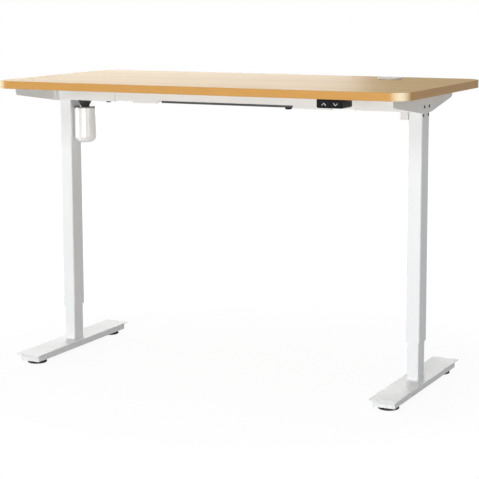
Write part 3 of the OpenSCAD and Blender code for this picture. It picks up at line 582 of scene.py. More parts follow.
def moulded(name, colour, roughness, grain=1500.0, deep=0.00003, specular=0.5):
    """Moulded plastic with a fine spark-eroded grain"""
    finish = Finish(name, colour, roughness, specular=specular)
    pebble = finish.noise((grain, grain, grain), detail=2, roughness=0.6)
    haze = finish.noise((30, 30, 30), detail=2, roughness=0.5)
    finish.paint(finish.blend(finish.between(haze, *SOFT_RANGE), colour, darker(colour, 0.9)))
    finish.gloss(finish.between(pebble, *FULL_RANGE, roughness - 0.05, roughness + 0.06))
    finish.emboss(pebble, deep=deep, share=0.6)
    return finish.material


def plated(name, colour, roughness, along=(40.0, 900.0, 900.0)):
    """Bright or dark plated metal with fine drawing lines along one axis"""
    finish = Finish(name, colour, roughness, metallic=1.0)
    lines = finish.noise(along, detail=3, roughness=0.6)
    finish.mottle(lines, FULL_RANGE, colour, 0.86, roughness - 0.06, roughness + 0.08)
    finish.emboss(lines, deep=0.00002, share=0.4)
    return finish.material


def cast_paint(colours):
    """Painted pressure die casting, slightly uneven"""
    finish = Finish("painted_casting", colours.casting, 0.5)
    skin = finish.noise((240, 240, 240), detail=4, roughness=0.6)
    finish.mottle(skin, FULL_RANGE, colours.casting, 0.92, 0.45, 0.58)
    finish.emboss(skin, deep=0.00008, share=0.6)
    return finish.material


def windings(colours):
    """Laminations and copper windings, in bands round the core"""
    finish = Finish("laminations_and_windings", colours.winding, 0.45, metallic=0.6)
    bands = finish.noise((3, 3, 1300), detail=1, roughness=0.5)
    finish.paint(finish.blend(finish.between(bands, 0.4, 0.6), colours.winding, colours.lamination))
    finish.gloss(finish.between(bands, *FULL_RANGE, 0.35, 0.55))
    finish.emboss(bands, deep=0.0001, share=0.6)
    return finish.material


def circuit(colours):
    """Solder mask over copper tracks"""
    finish = Finish("solder_mask", colours.mask, 0.35)
    tracks = finish.between(finish.noise((420, 60, 420), detail=0, roughness=0.5), 0.5, 0.54)
    runs = finish.between(finish.noise((60, 420, 420), detail=0, roughness=0.5), 0.5, 0.54)
    share = finish.combine(tracks, runs, "MULTIPLY")
    finish.paint(finish.blend(share, colours.mask, colours.track))
    finish.gloss(finish.between(share, 0, 1, 0.3, 0.42))
    finish.emboss(share, deep=0.00004, share=0.6)
    return finish.material


def threaded(name, colour, pitch):
    """Bright steel with a rolled thread round an upright axis, whose ridges lie a pitch apart"""
    finish = Finish(name, colour, 0.3, metallic=1.0)
    wave = finish.nodes.new("ShaderNodeTexWave")
    wave.wave_type = "BANDS"
    wave.bands_direction = "Z"
    wave.inputs["Scale"].default_value = math.pi / 10 / pitch
    wave.inputs["Distortion"].default_value = 0
    finish.link(finish.place, wave.inputs["Vector"])
    ridge = wave.outputs["Fac"]
    # Painted shade: the grooves between the thread's ridges are darker than the ridges
    finish.paint(finish.blend(ridge, darker(colour, 0.6), colour))
    finish.gloss(finish.between(ridge, 0, 1, 0.42, 0.24))
    finish.emboss(ridge, deep=pitch / 4, share=0.8)
    return finish.material


FINISHES = {}


def build_finishes(colours, sizes):
    """Makes every finish"""
    FINISHES.update(
        laminate=laminate(colours),
        band=edge_tape(colours, sizes.top_corner),
        white=powder_coat("white_powder_coat", colours.white, 0.36),
        bracket=powder_coat("white_bracket_coat", colours.white, 0.4),
        can=gloss_paint(colours),
        plastic=moulded("white_moulded_plastic", colours.plastic, 0.38, grain=900.0, deep=0.00002),
        casting=cast_paint(colours),
        dark=powder_coat("dark_grey_coat", colours.dark, 0.42),
        # Painted shade: a mid grey that copies the shaded look of the can's top
        flange=powder_coat("grey_flange_coat", colours.flange, 0.42),
        black=moulded("black_moulded_plastic", colours.black, 0.36, specular=0.08),
        key=moulded("black_button_plastic", colours.black, 0.3, grain=2200.0, deep=0.00001, specular=0.12),
        arrow=moulded("arrow_print", colours.arrow, 0.45, grain=2600.0, deep=0.00001),
        rubber=moulded("black_rubber", colours.rubber, 0.72, grain=800.0, deep=0.00008),
        box=moulded("dark_box_plastic", colours.box, 0.5, grain=1100.0, deep=0.00005),
        steel=plated("zinc_plated_steel", colours.steel, 0.32),
        oxide=plated("black_oxide_screw", colours.oxide, 0.42, along=(700.0, 700.0, 700.0)),
        brass=plated("machined_brass", colours.brass, 0.28, along=(900.0, 900.0, 900.0)),
        nylon=moulded("machined_nylon", colours.nylon, 0.45, grain=500.0, deep=0.00004),
        mask=circuit(colours),
        winding=windings(colours),
        thread=threaded("rolled_thread_steel", colours.steel, pitch=0.004),
    )


def give_finish(piece, finish):
    """Gives a piece its one finish; the first call makes them all"""
    if not FINISHES:
        scene = bpy.context.scene
        build_finishes(scene.desk_colours, scene.desk_sizes)
    piece.data.materials.clear()
    piece.data.materials.append(FINISHES[finish])


def dress(piece, body, slot, finish, *nodes):
    """Smooths a finished piece, gives it its finish, puts it under its body's empty, and hides the nodes it
    stands in for
    """
    only(piece)
    bpy.ops.object.shade_smooth_by_angle(angle=SMOOTH_ANGLE, keep_sharp_edges=False)
    apply_modifier(piece, "WEIGHTED_NORMAL", keep_sharp=True)
    give_finish(piece, finish)
    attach(piece, body)
    if nodes:
        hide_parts(*nodes)


def dress_white(piece, node, body="desk_frame"):
    """Finishes a powder coated piece of the metalwork"""
    dress(piece, body, "white_metal", "white", node)


def coat(finish, *nodes):
    """Gives CAD nodes that stay a better finish"""
    for node in nodes:
        give_finish(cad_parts[node], finish)


# ---- Pieces ----


class DESK_OT_top(bpy.types.Operator):
    """Adds the laminate board and its edge band"""

    bl_idname = "desk.top"
    bl_label = "Desktop"

    CORNER_STEPS = 16

    def execute(self, context):
        sizes = context.scene.desk_sizes
        self.board(sizes)
        self.band(sizes)
        return {"FINISHED"}

    def board(self, sizes):
        """The board, with the hole for the grommet"""
        low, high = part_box("desktop")
        board = block("laminate_board", low, high)
        round_edges(board, sizes.top_corner - sizes.band, upright, self.CORNER_STEPS)
        hole = radius_of("grommet_ring") - sizes.rim
        centre = middle_of("grommet_ring")
        tall = high.z - low.z
        foot = (centre.x, centre.y, low.z - tall / 2)
        cut_away(board, bar("board_cutter", foot, hole, 2 * tall, sides=96))
        soften(board, sizes.board_arris)
        dress(board, "desk_frame", "desktop_laminate", "laminate", "desktop")

    def band(self, sizes):
        """The band: a rounded block whose middle is taken out"""
        low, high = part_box("edge_band")
        band = block("wood_edge_band", low, high)
        round_edges(band, sizes.top_corner, upright, self.CORNER_STEPS)
        round_edges(band, sizes.band_arris, level, segments=3)
        pick(band, "FACE", lambda place, normal: abs(normal.z) > ALONG)
        bpy.ops.mesh.inset(thickness=sizes.band - sizes.band_arris)
        bpy.ops.mesh.delete(type="FACE")
        fresh()
        pick(band, "EDGE", self.inner_edge(low, high, sizes))
        bpy.ops.mesh.bridge_edge_loops()
        fresh()
        dress(band, "desk_frame", "edge_band", "band", "edge_band")

    def inner_edge(self, low, high, sizes):
        """A test for the level edges that lie a band's thickness inside the outline"""
        radius = sizes.top_corner

        def test(place, way):
            if abs(way.z) > ACROSS:
                return False
            if min(place.z - low.z, high.z - place.z) > NEAR:
                return False
            across = max(low.x + radius - place.x, place.x - high.x + radius)
            along = max(low.y + radius - place.y, place.y - high.y + radius)
            if across > 0 and along > 0:
                inset = radius - math.hypot(across, along)
            else:
                inset = radius - max(across, along)
            return abs(inset - sizes.band) < 4 * NEAR

        return test


class DESK_OT_grommet(bpy.types.Operator):
    """Adds the cable grommet's ring and its turning lid"""

    bl_idname = "desk.grommet"
    bl_label = "Cable grommet"

    # The lid's outer round, the dish in its upper face, and the recess in its underside
    LID_ROUND = 0.0016
    DISH_START = 0.8
    DISH_END = 0.78
    DISH_DEPTH = 0.0003
    RECESS = 0.0008
    # The cable notch: its depth from the lid's edge, and its corners as a share of half its width
    NOTCH_DEPTH = 0.02
    NOTCH_CORNER = 0.55

    def execute(self, context):
        sizes = context.scene.desk_sizes
        low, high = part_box("grommet_ring")
        outer = radius_of("grommet_ring")
        hole = outer - sizes.rim - RUN_GAP
        bore = hole - sizes.grommet_wall
        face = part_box("desktop")[1].z
        outline = [
            (bore, low.z), (hole, low.z), (hole, face),
            (outer, face), (outer, high.z), (bore, high.z),
        ]
        ring = turned("grommet_ring_white", axis_of("grommet_ring"), outline, closed=True)
        soften(ring, radius=0.0004, segments=3)
        dress(ring, "desk_frame", "white_plastic", "plastic", "grommet_ring")
        self.lid(sizes, outer, bore - RUN_GAP, high.z + RUN_GAP)
        return {"FINISHED"}

    def lid(self, sizes, outer, spigot, seat):
        """The lid, with its spigot and the cable notch at its back"""
        low, high = (corner.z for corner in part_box("grommet_lid"))
        axis = axis_of("grommet_ring")
        inner = spigot - sizes.grommet_wall
        edge = self.LID_ROUND
        outline = (
            [(0, seat + self.RECESS), (inner, seat + self.RECESS), (inner, low), (spigot, low)]
            + [(spigot, seat), (outer, seat)] + arc((outer - edge, high - edge), edge, 0, 90, 5)
            + [(outer * self.DISH_START, high), (outer * self.DISH_END, high - self.DISH_DEPTH)]
            + [(0, high - self.DISH_DEPTH)]
        )
        lid = turned("grommet_lid_white", axis, outline)
        half = Vector((sizes.notch / 2, 0, 0))
        start = axis + Vector((0, outer - self.NOTCH_DEPTH, low - SPARE)) - half
        stop = axis + Vector((0, outer + SPARE, high + SPARE)) + half
        notch = block("notch_cutter", start, stop)
        bottom = lambda place, way: upright(place, way) and place.y < axis.y + outer
        round_edges(notch, half.x * self.NOTCH_CORNER, bottom, segments=6)
        cut_away(lid, notch)
        soften(lid, radius=0.0003)
        dress(lid, "grommet_cap", "white_plastic", "plastic", "grommet_lid")


class DESK_OT_brackets(bpy.types.Operator):
    """Adds the two sheet brackets that carry the top"""

    bl_idname = "desk.brackets"
    bl_label = "Side brackets"

    # Outer radius of the fold, as a share of the sheet's thickness
    FOLD = 1.2

    def execute(self, context):
        sizes = context.scene.desk_sizes
        low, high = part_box("right_side_bracket")
        leg_y = middle_of("right_outer_tube").y
        sheet = sizes.sheet
        bracket = block("right_bracket_sheet", (high.x - sheet, low.y, low.z), high)
        for end, tip_y in ((-1, low.y), (1, high.y)):
            start = Vector((high.x, leg_y + end * sizes.bracket_mid, low.z))
            slope = Vector((high.x, tip_y, high.z - sizes.bracket_end)) - start
            down = Vector((0, slope.z, -slope.y)) * end
            slice_at(bracket, start, down, fill=True, clear_outer=True)
        low_tips = lambda place, way: (
            along_x(place, way) and high.z - place.z > sizes.bracket_end / 2
            and (place.y < low.y + NEAR or place.y > high.y - NEAR)
        )
        round_edges(bracket, sizes.bracket_corner, low_tips, segments=8)
        slice_at(bracket, (0, 0, high.z - sheet), (0, 0, 1))
        inner_strip = lambda place, normal: normal.x < -ALONG and place.z > high.z - sheet
        extrude(bracket, "FACE", inner_strip, (low.x + sheet - high.x, 0, 0))
        outer_fold = lambda place, way: (
            along_y(place, way) and place.z > high.z - NEAR and place.x > high.x - NEAR
        )
        round_edges(bracket, sheet * self.FOLD, outer_fold)
        soften(bracket, radius=0.0005)
        twin = copied(bracket, "left_bracket_sheet", MIRROR)
        dress(bracket, "desk_frame", "bracket_metal", "bracket", "right_side_bracket")
        dress(twin, "desk_frame", "bracket_metal", "bracket", "left_side_bracket")
        return {"FINISHED"}


class DESK_OT_beam(bpy.types.Operator):
    """Adds the crossbeam: two sleeves, the rail between them and its cover"""

    bl_idname = "desk.beam"
    bl_label = "Crossbeam"

    PLATE_CORNER = 0.002
    # Radius of the cover's folded upper edges
    COVER_FOLD = 0.0012
    # Room between the cover's doorways and the rail that leaves through them
    DOORWAY_ROOM = 0.0004
    # How squarely a face looks along X where the doorways open
    END_FACING = 0.9
    # Room beside the control box in the window, at each end
    WINDOW_ROOM = 0.005
    # How much rounder the rail's bends are than the inside of the sleeves' bends
    RAIL_EASE = 0.001
    # Where the rail's lips start, inside the sleeves
    LIP_START = 0.002

    def execute(self, context):
        sizes = context.scene.desk_sizes
        self.sleeves(sizes)
        self.rail(sizes)
        self.cover(sizes)
        return {"FINISHED"}

    def sheet_channel(self, name, low, high, bend):
        """A folded sheet along X, open below and at its ends"""
        piece = block(name, low, high)
        folds = lambda place, way: along_x(place, way) and place.z > high.z - NEAR
        round_edges(piece, bend, folds)
        delete_faces(piece, lambda place, normal: normal.z < -ALONG or abs(normal.x) > ALONG)
        return piece

    def fold_lips(self, piece, low, high, start, end, width):
        """Folds a lip inwards under both sides, from start to end along X"""
        for place in (start, end):
            slice_at(piece, (place, 0, 0), (1, 0, 0))
        for side, edge_y in ((1, low.y), (-1, high.y)):
            below = lambda place, way: (
                along_x(place, way) and place.z < low.z + NEAR
                and abs(place.y - edge_y) < NEAR and start < place.x < end
            )
            extrude(piece, "EDGE", below, (0, side * width, 0))

    def open_window(self, piece, sizes, front):
        """Opens the window along the control box, in the sheet that lies at front"""
        box_low, box_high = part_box("control_box_case")
        start = box_low.x - self.WINDOW_ROOM
        end = box_high.x + self.WINDOW_ROOM
        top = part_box("beam_rail")[0].z + sizes.window
        for place in (start, end):
            slice_at(piece, (place, 0, 0), (1, 0, 0))
        slice_at(piece, (0, 0, top), (0, 0, 1))
        in_window = lambda place, normal: (
            normal.y < -ALONG and place.z < top and start < place.x < end and place.y < front + NEAR
        )
        delete_faces(piece, in_window)

    def sleeves(self, sizes):
        """The sleeves, each with the plate at its outer end"""
        low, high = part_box("right_beam_sleeve")
        inner = Vector((low.x, low.y + sizes.end_flange, low.z))
        outer = Vector((high.x - sizes.end_plate / 2, high.y - sizes.end_flange, high.z))
        channel = self.sheet_channel("sleeve_channel", inner, outer, sizes.bend)
        self.fold_lips(channel, inner, outer, low.x, low.x + sizes.sleeve_lip, sizes.lip)
        thicken(channel, sizes.beam_wall)
        plate = block("sleeve_plate", (high.x - sizes.end_plate, low.y, low.z), high)
        round_edges(plate, self.PLATE_CORNER, along_x, segments=4)
        sleeve = joined("right_sleeve", [channel, plate])
        soften(sleeve, radius=0.0004)
        twin = copied(sleeve, "left_sleeve", MIRROR)
        dress_white(sleeve, "right_beam_sleeve")
        dress_white(twin, "left_beam_sleeve")

    def rail(self, sizes):
        """The rail that slides in both sleeves"""
        low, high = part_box("beam_rail")
        bend = sizes.bend - sizes.beam_wall + self.RAIL_EASE
        rail = self.sheet_channel("beam_rail_sheet", low, high, bend)
        self.open_window(rail, sizes, low.y)
        lip_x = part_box("right_beam_sleeve")[0].x + self.LIP_START
        for start, end in ((low.x, -lip_x), (lip_x, high.x)):
            self.fold_lips(rail, low, high, start + NEAR, end - NEAR, sizes.lip)
        thicken(rail, sizes.beam_wall)
        soften(rail, radius=0.0004)
        dress_white(rail, "beam_rail")

    def cover(self, sizes):
        """The cover round the rail's middle, with its window and its two open ends"""
        low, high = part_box("beam_cover")
        rail_low, rail_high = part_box("beam_rail")
        front = rail_low.y - self.DOORWAY_ROOM
        back = rail_high.y + self.DOORWAY_ROOM
        lintel = high.z - sizes.cover_wall
        cover = block("beam_cover_sheet", low, high)
        round_edges(cover, sizes.cover_corner, upright, segments=6)
        upper = lambda place, way: level(place, way) and place.z > high.z - NEAR
        round_edges(cover, self.COVER_FOLD, upper, segments=3)
        delete_faces(cover, lambda place, normal: normal.z < -ALONG)
        for place in (front, back):
            slice_at(cover, (0, place, 0), (0, 1, 0))
        slice_at(cover, (0, 0, lintel), (0, 0, 1))
        doorway = lambda place, normal: (
            abs(normal.x) > self.END_FACING and front < place.y < back and place.z < lintel
        )
        delete_faces(cover, doorway)
        self.open_window(cover, sizes, low.y)
        thicken(cover, sizes.cover_wall)
        soften(cover, radius=0.0003)
        dress_white(cover, "beam_cover")


class DESK_OT_legs(bpy.types.Operator):
    """Adds the leg tubes and coats the glides"""

    bl_idname = "desk.legs"
    bl_label = "Legs"

    def execute(self, context):
        sizes = context.scene.desk_sizes
        for side in SIDES:
            self.tube(f"{side}_outer_tube", sizes.outer_corner, sizes.tube_wall, "desk_frame")
            self.tube(f"{side}_inner_tube", sizes.inner_corner, sizes.tube_wall, f"{side}_base")
            coat("plastic", f"{side}_lower_glide", f"{side}_upper_glide")
        return {"FINISHED"}

    def tube(self, node, corner, wall, body):
        """A tube with rounded corners and deburred ends"""
        tube = block(f"{node}_section", *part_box(node))
        round_edges(tube, corner, upright, segments=8)
        delete_faces(tube, lambda place, normal: abs(normal.z) > ALONG)
        thicken(tube, wall)
        soften(tube, radius=0.0003)
        dress_white(tube, node, body)


class DESK_OT_feet(bpy.types.Operator):
    """Adds the feet: a plate on a box section"""

    bl_idname = "desk.feet"
    bl_label = "Feet"

    def execute(self, context):
        sizes = context.scene.desk_sizes
        for side in SIDES:
            plate = block(f"{side}_foot_top_plate", *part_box(f"{side}_foot_plate"))
            round_edges(plate, sizes.foot_corner, upright, segments=6)
            soften(plate, radius=0.0006, segments=3)
            dress_white(plate, f"{side}_foot_plate", f"{side}_base")
            low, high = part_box(f"{side}_foot_base")
            base = block(f"{side}_foot_box", low, high)
            round_edges(base, sizes.foot_bend, upright)
            round_edges(base, sizes.foot_bend, at_foot(low))
            delete_faces(base, lambda place, normal: normal.z > ALONG)
            thicken(base, sizes.foot_wall)
            soften(base, radius=0.0003)
            dress_white(base, f"{side}_foot_base", f"{side}_base")
            coat("steel", f"{side}_foot_bolts")
        return {"FINISHED"}


class DESK_OT_pads(bpy.types.Operator):
    """Adds the four levelling pads, each with its nut and stud"""

    bl_idname = "desk.pads"
    bl_label = "Levelling pads"

    # The disc's outline: radii as shares of the pad's, edge rounds as shares of the disc's thickness
    SOLE_RECESS = 0.8
    SOLE_RIM = 0.82
    SHOULDER = 0.6
    HUB = 0.42
    LOWER_ROUND = 0.3
    UPPER_ROUND = 0.42
    # Depth of the recess in the sole and height of the hub
    STEP = 0.0006
    NUT_RADIUS = 0.0078
    NUT_ROOM = 0.0003

    def execute(self, context):
        sizes = context.scene.desk_sizes
        for side in SIDES:
            for end in ("front", "back"):
                self.pad(sizes, side, end)
        return {"FINISHED"}

    def pad(self, sizes, side, end):
        """A rubber disc with a recessed sole, a lock nut and a stud"""
        node = f"{side}_{end}_pad"
        low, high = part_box(node)
        nut_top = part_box(f"{side}_foot_base")[0].z - self.NUT_ROOM
        radius = radius_of(node)
        axis = axis_of(node)
        top = low.z + sizes.pad_disc
        lower = sizes.pad_disc * self.LOWER_ROUND
        upper = sizes.pad_disc * self.UPPER_ROUND
        outline = (
            [(0, low.z + self.STEP), (radius * self.SOLE_RECESS, low.z + self.STEP)]
            + [(radius * self.SOLE_RIM, low.z)]
            + arc((radius - lower, low.z + lower), lower, -90, 0, 4)
            + arc((radius - upper, top - upper), upper, 0, 70, 4)
            + [(radius * self.SHOULDER, top), (radius * self.HUB, top + self.STEP), (0, top + self.STEP)]
        )
        sole = turned("pad_disc", axis, outline, steps=64)
        nut = bar("pad_nut", (axis.x, axis.y, top), self.NUT_RADIUS, nut_top - top, sides=6)
        soften(nut, radius=0.0005)
        stud = bar("pad_stud", (axis.x, axis.y, top), sizes.stud, high.z - top, sides=32)
        soften(stud, radius=0.0006)
        pad = joined(f"{node}_rubber", [sole, nut, stud])
        dress(pad, f"{side}_{end}_foot_pad", "black_rubber", "rubber", node)


class DESK_OT_motor(bpy.types.Operator):
    """Adds the motor's can, flange and neck, and coats what is in it"""

    bl_idname = "desk.motor"
    bl_label = "Motor"

    # How far the flange stays inside the can's edge, and half the width of its arm
    FLANGE_INSET = 0.0012
    ARM_HALF = 0.012
    # Height of the straight collar at each end of the neck
    COLLAR = 0.0018

    def execute(self, context):
        sizes = context.scene.desk_sizes
        self.can(sizes)
        self.flange()
        self.neck(sizes)
        coat("winding", "motor_core")
        coat("steel", "motor_output_shaft")
        coat("brass", "motor_gear")
        return {"FINISHED"}

    def can(self, sizes):
        """A drawn can with a round lower end and a rolled upper rim"""
        low, high = (corner.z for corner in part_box("motor_can"))
        radius = radius_of("motor_can")
        wall = sizes.motor_wall
        bend = sizes.motor_round
        centre = (radius - bend, low + bend)
        outside = [(0, low)] + arc(centre, bend, -90, 0, 14)
        rim = arc((radius - wall / 2, high - wall / 2), wall / 2, 0, 180, 6)
        inside = arc(centre, bend - wall, 0, -90, 8) + [(0, low + wall)]
        can = turned("motor_can_gloss", axis_of("motor_can"), outside + rim + inside, steps=128)
        dress(can, "desk_frame", "motor_white", "can", "motor_can")

    def flange(self):
        """The grey top flange, with the arm that rests against the leg"""
        low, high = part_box("motor_flange")
        centre = middle_of("motor_can")
        radius = radius_of("motor_can") - self.FLANGE_INSET
        disc = bar("motor_flange_plate", (centre.x, centre.y, low.z), radius, high.z - low.z, sides=96)
        start = (low.x, centre.y - self.ARM_HALF, low.z)
        arm = block("flange_arm", start, (centre.x, centre.y + self.ARM_HALF, high.z))
        cut_away(disc, arm, "UNION")
        soften(disc, radius=0.0007, segments=3)
        dress(disc, "desk_frame", "dark_metal", "flange", "motor_flange")

    def neck(self, sizes):
        """The dark conical neck, with a short straight collar at both ends"""
        low, high = (corner.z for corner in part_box("motor_neck"))
        top = radius_of("motor_neck")
        foot = sizes.neck_low
        outline = [
            (0, low), (foot, low), (foot, low + self.COLLAR),
            (top, high - self.COLLAR), (top, high), (0, high),
        ]
        neck = turned("motor_neck_cone", axis_of("motor_neck"), outline)
        soften(neck, radius=0.0005, segments=3)
        dress(neck, "desk_frame", "dark_metal", "dark", "motor_neck")


class DESK_OT_control_box(bpy.types.Operator):
    """Adds the control box's case and lid and the cable gland"""

    bl_idname = "desk.control_box"
    bl_label = "Control box"

    CORNER = 0.0055
    LOWER_ROUND = 0.0012
    # The shallow panel in the case's underside
    PANEL_INSET = 0.0028
    PANEL_SLOPE = 0.0006
    PANEL_DEPTH = 0.0005
    # The gland: its neck's step, and its mouth's radius (as a share), depth, lead-in and outer round
    NECK_STEP = 0.003
    MOUTH = 0.42
    MOUTH_DEPTH = 0.0022
    MOUTH_LEAD = 0.0006
    GLAND_ROUND = 0.0016

    def execute(self, context):
        self.case()
        lid = block("control_box_cap", *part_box("control_box_lid"))
        round_edges(lid, self.CORNER, upright)
        soften(lid, radius=0.0004)
        dress(lid, "desk_frame", "box_grey", "box", "control_box_lid")
        self.gland()
        coat("mask", "control_board")
        return {"FINISHED"}

    def case(self):
        """The case, with round lower edges and a panel sunk in its underside"""
        low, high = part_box("control_box_case")
        case = block("control_box_shell", low, high)
        round_edges(case, self.CORNER, upright)
        round_edges(case, self.LOWER_ROUND, at_foot(low), segments=3)
        pick(case, "FACE", lambda place, normal: normal.z < -ALONG)
        bpy.ops.mesh.inset(thickness=self.PANEL_INSET)
        bpy.ops.mesh.inset(thickness=self.PANEL_SLOPE, depth=-self.PANEL_DEPTH)
        fresh()
        dress(case, "desk_frame", "box_grey", "box", "control_box_case")

    def gland(self):
        """The gland: a body with a rounded mouth, and the neck that sits in the case"""
        low, high = (corner.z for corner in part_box("cable_gland"))
        radius = radius_of("cable_gland")
        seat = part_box("control_box_case")[0].z
        neck = radius - self.NECK_STEP
        mouth = radius * self.MOUTH
        edge = self.GLAND_ROUND
        outline = (
            [(0, low + self.MOUTH_DEPTH), (mouth, low + self.MOUTH_DEPTH), (mouth, low + self.MOUTH_LEAD)]
            + arc((radius - edge, low + edge), edge, -90, 0, 4)
            + [(radius, seat), (neck, seat), (neck, high), (0, high)]
        )
        gland = turned("cable_gland_black", axis_of("cable_gland"), outline, steps=48)
        soften(gland, radius=0.0002)
        dress(gland, "desk_frame", "black_plastic", "black", "cable_gland")


class DESK_OT_handset(bpy.types.Operator):
    """Adds the handset and its two buttons with their arrows"""

    bl_idname = "desk.handset"
    bl_label = "Handset"

    FRONT_ROUND = 0.0009
    # Each screw ear: its place from the handset's side, its lap on the shell, and its rear round
    EAR_IN = 0.011
    EAR_LAP = 0.001
    EAR_ROUND = 0.8
    # The buttons: what the flange behind each cap adds all round, and the cap's rounds
    KEY_FLANGE = 0.0008
    KEY_CORNER = 0.0015
    KEY_ROUND = 0.0004
    # How far a cap reaches behind the shell's front wall
    KEY_BEHIND = 0.0005
    # Room round the caps in their openings, and the cutter's reach before and behind the front wall
    KEY_ROOM = 0.00025
    CUT_BEFORE = 0.002
    CUT_BEHIND = 0.006
    # How far the arrows stand out of the caps
    ARROW_PROUD = 0.00012

    def execute(self, context):
        sizes = context.scene.desk_sizes
        self.housing(sizes)
        for node, body, way in (("up_button", "up_key", 1), ("down_button", "down_key", -1)):
            cap_low, cap_high = self.cap_corners(sizes, node)
            self.cap(node, body, cap_low, cap_high)
            self.arrow(sizes, f"{node}_arrow", body, cap_low, cap_high, way)
        coat("black", "handset_back")
        coat("mask", "handset_board")
        return {"FINISHED"}

    def housing(self, sizes):
        """The shell: a block with round lower corners, hollow from behind, with two button openings"""
        low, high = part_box("handset_housing")
        back = low.y + sizes.hand_depth
        shell = block("handset_block", low, (high.x, back, high.z))
        lower_ends = lambda place, way: along_y(place, way) and place.z < (low.z + high.z) / 2
        round_edges(shell, sizes.hand_corner, lower_ends, segments=8)
        round_edges(shell, self.FRONT_ROUND, at_front(low), segments=3)
        pick(shell, "FACE", lambda place, normal: normal.y > ALONG)
        bpy.ops.mesh.inset(thickness=sizes.hand_wall)
        bpy.ops.mesh.extrude_region_move(
            TRANSFORM_OT_translate={"value": (0, low.y + sizes.hand_wall - back, 0)}
        )
        fresh()
        for node in ("up_button", "down_button"):
            cut_away(shell, self.opening(sizes, node))
        ears = [self.ear(sizes, x, back, high.z) for x in (low.x + self.EAR_IN, high.x - self.EAR_IN)]
        shell = joined("handset_shell", [shell] + ears)
        dress(shell, "desk_frame", "black_plastic", "black", "handset_housing")

    def ear(self, sizes, x, back, top):
        """A screw ear under the desktop"""
        half = sizes.ear / 2
        start = (x - half, back - self.EAR_LAP, top - sizes.ear_t)
        ear = block("handset_ear", start, (x + half, back + sizes.ear, top))
        rear = lambda place, way: upright(place, way) and place.y > back
        round_edges(ear, half * self.EAR_ROUND, rear, segments=8)
        soften(ear, radius=0.0003)
        return ear

    def cap_corners(self, sizes, node):
        """The corners of a button's cap, without its flange"""
        low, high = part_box(node)
        lap = self.KEY_FLANGE
        back = low.y + sizes.hand_wall + self.KEY_BEHIND
        return Vector((low.x + lap, low.y, low.z + lap)), Vector((high.x - lap, back, high.z - lap))

    def opening(self, sizes, node):
        """The cutter for a button's opening"""
        low, high = self.cap_corners(sizes, node)
        room = self.KEY_ROOM
        start = low - Vector((room, self.CUT_BEFORE, room))
        key = block("button_cutter", start, (high.x + room, low.y + self.CUT_BEHIND, high.z + room))
        round_edges(key, self.KEY_CORNER + room, along_y)
        return key

    def cap(self, node, body, low, high):
        """A button with a softly rounded face"""
        cap = block(f"{node}_cap", low, high)
        round_edges(cap, self.KEY_CORNER, along_y)
        round_edges(cap, self.KEY_ROUND, at_front(low), segments=3)
        dress(cap, body, "black_plastic", "key", node)

    def arrow(self, sizes, name, body, low, high, way):
        """The arrow on a cap's face, which points up or down"""
        middle = (low + high) / 2
        size = Vector((sizes.chevron_w / 2, 0, sizes.chevron_line / 2))
        rise = way * (sizes.chevron_h - sizes.chevron_line) / 2
        face = Vector((middle.x, low.y, middle.z))
        proud = Vector((0, self.ARROW_PROUD, 0))
        arrow = block(name, face - size - proud, face + size + proud)
        slice_at(arrow, middle, (1, 0, 0))
        at_tip = lambda place, normal: abs(place.x - middle.x) < NEAR
        at_ends = lambda place, normal: not at_tip(place, normal)
        for part, move in ((at_tip, rise), (at_ends, -rise)):
            pick(arrow, "VERT", part)
            bpy.ops.transform.translate(value=(0, 0, move))
            fresh()
        dress(arrow, body, "black_plastic", "arrow")


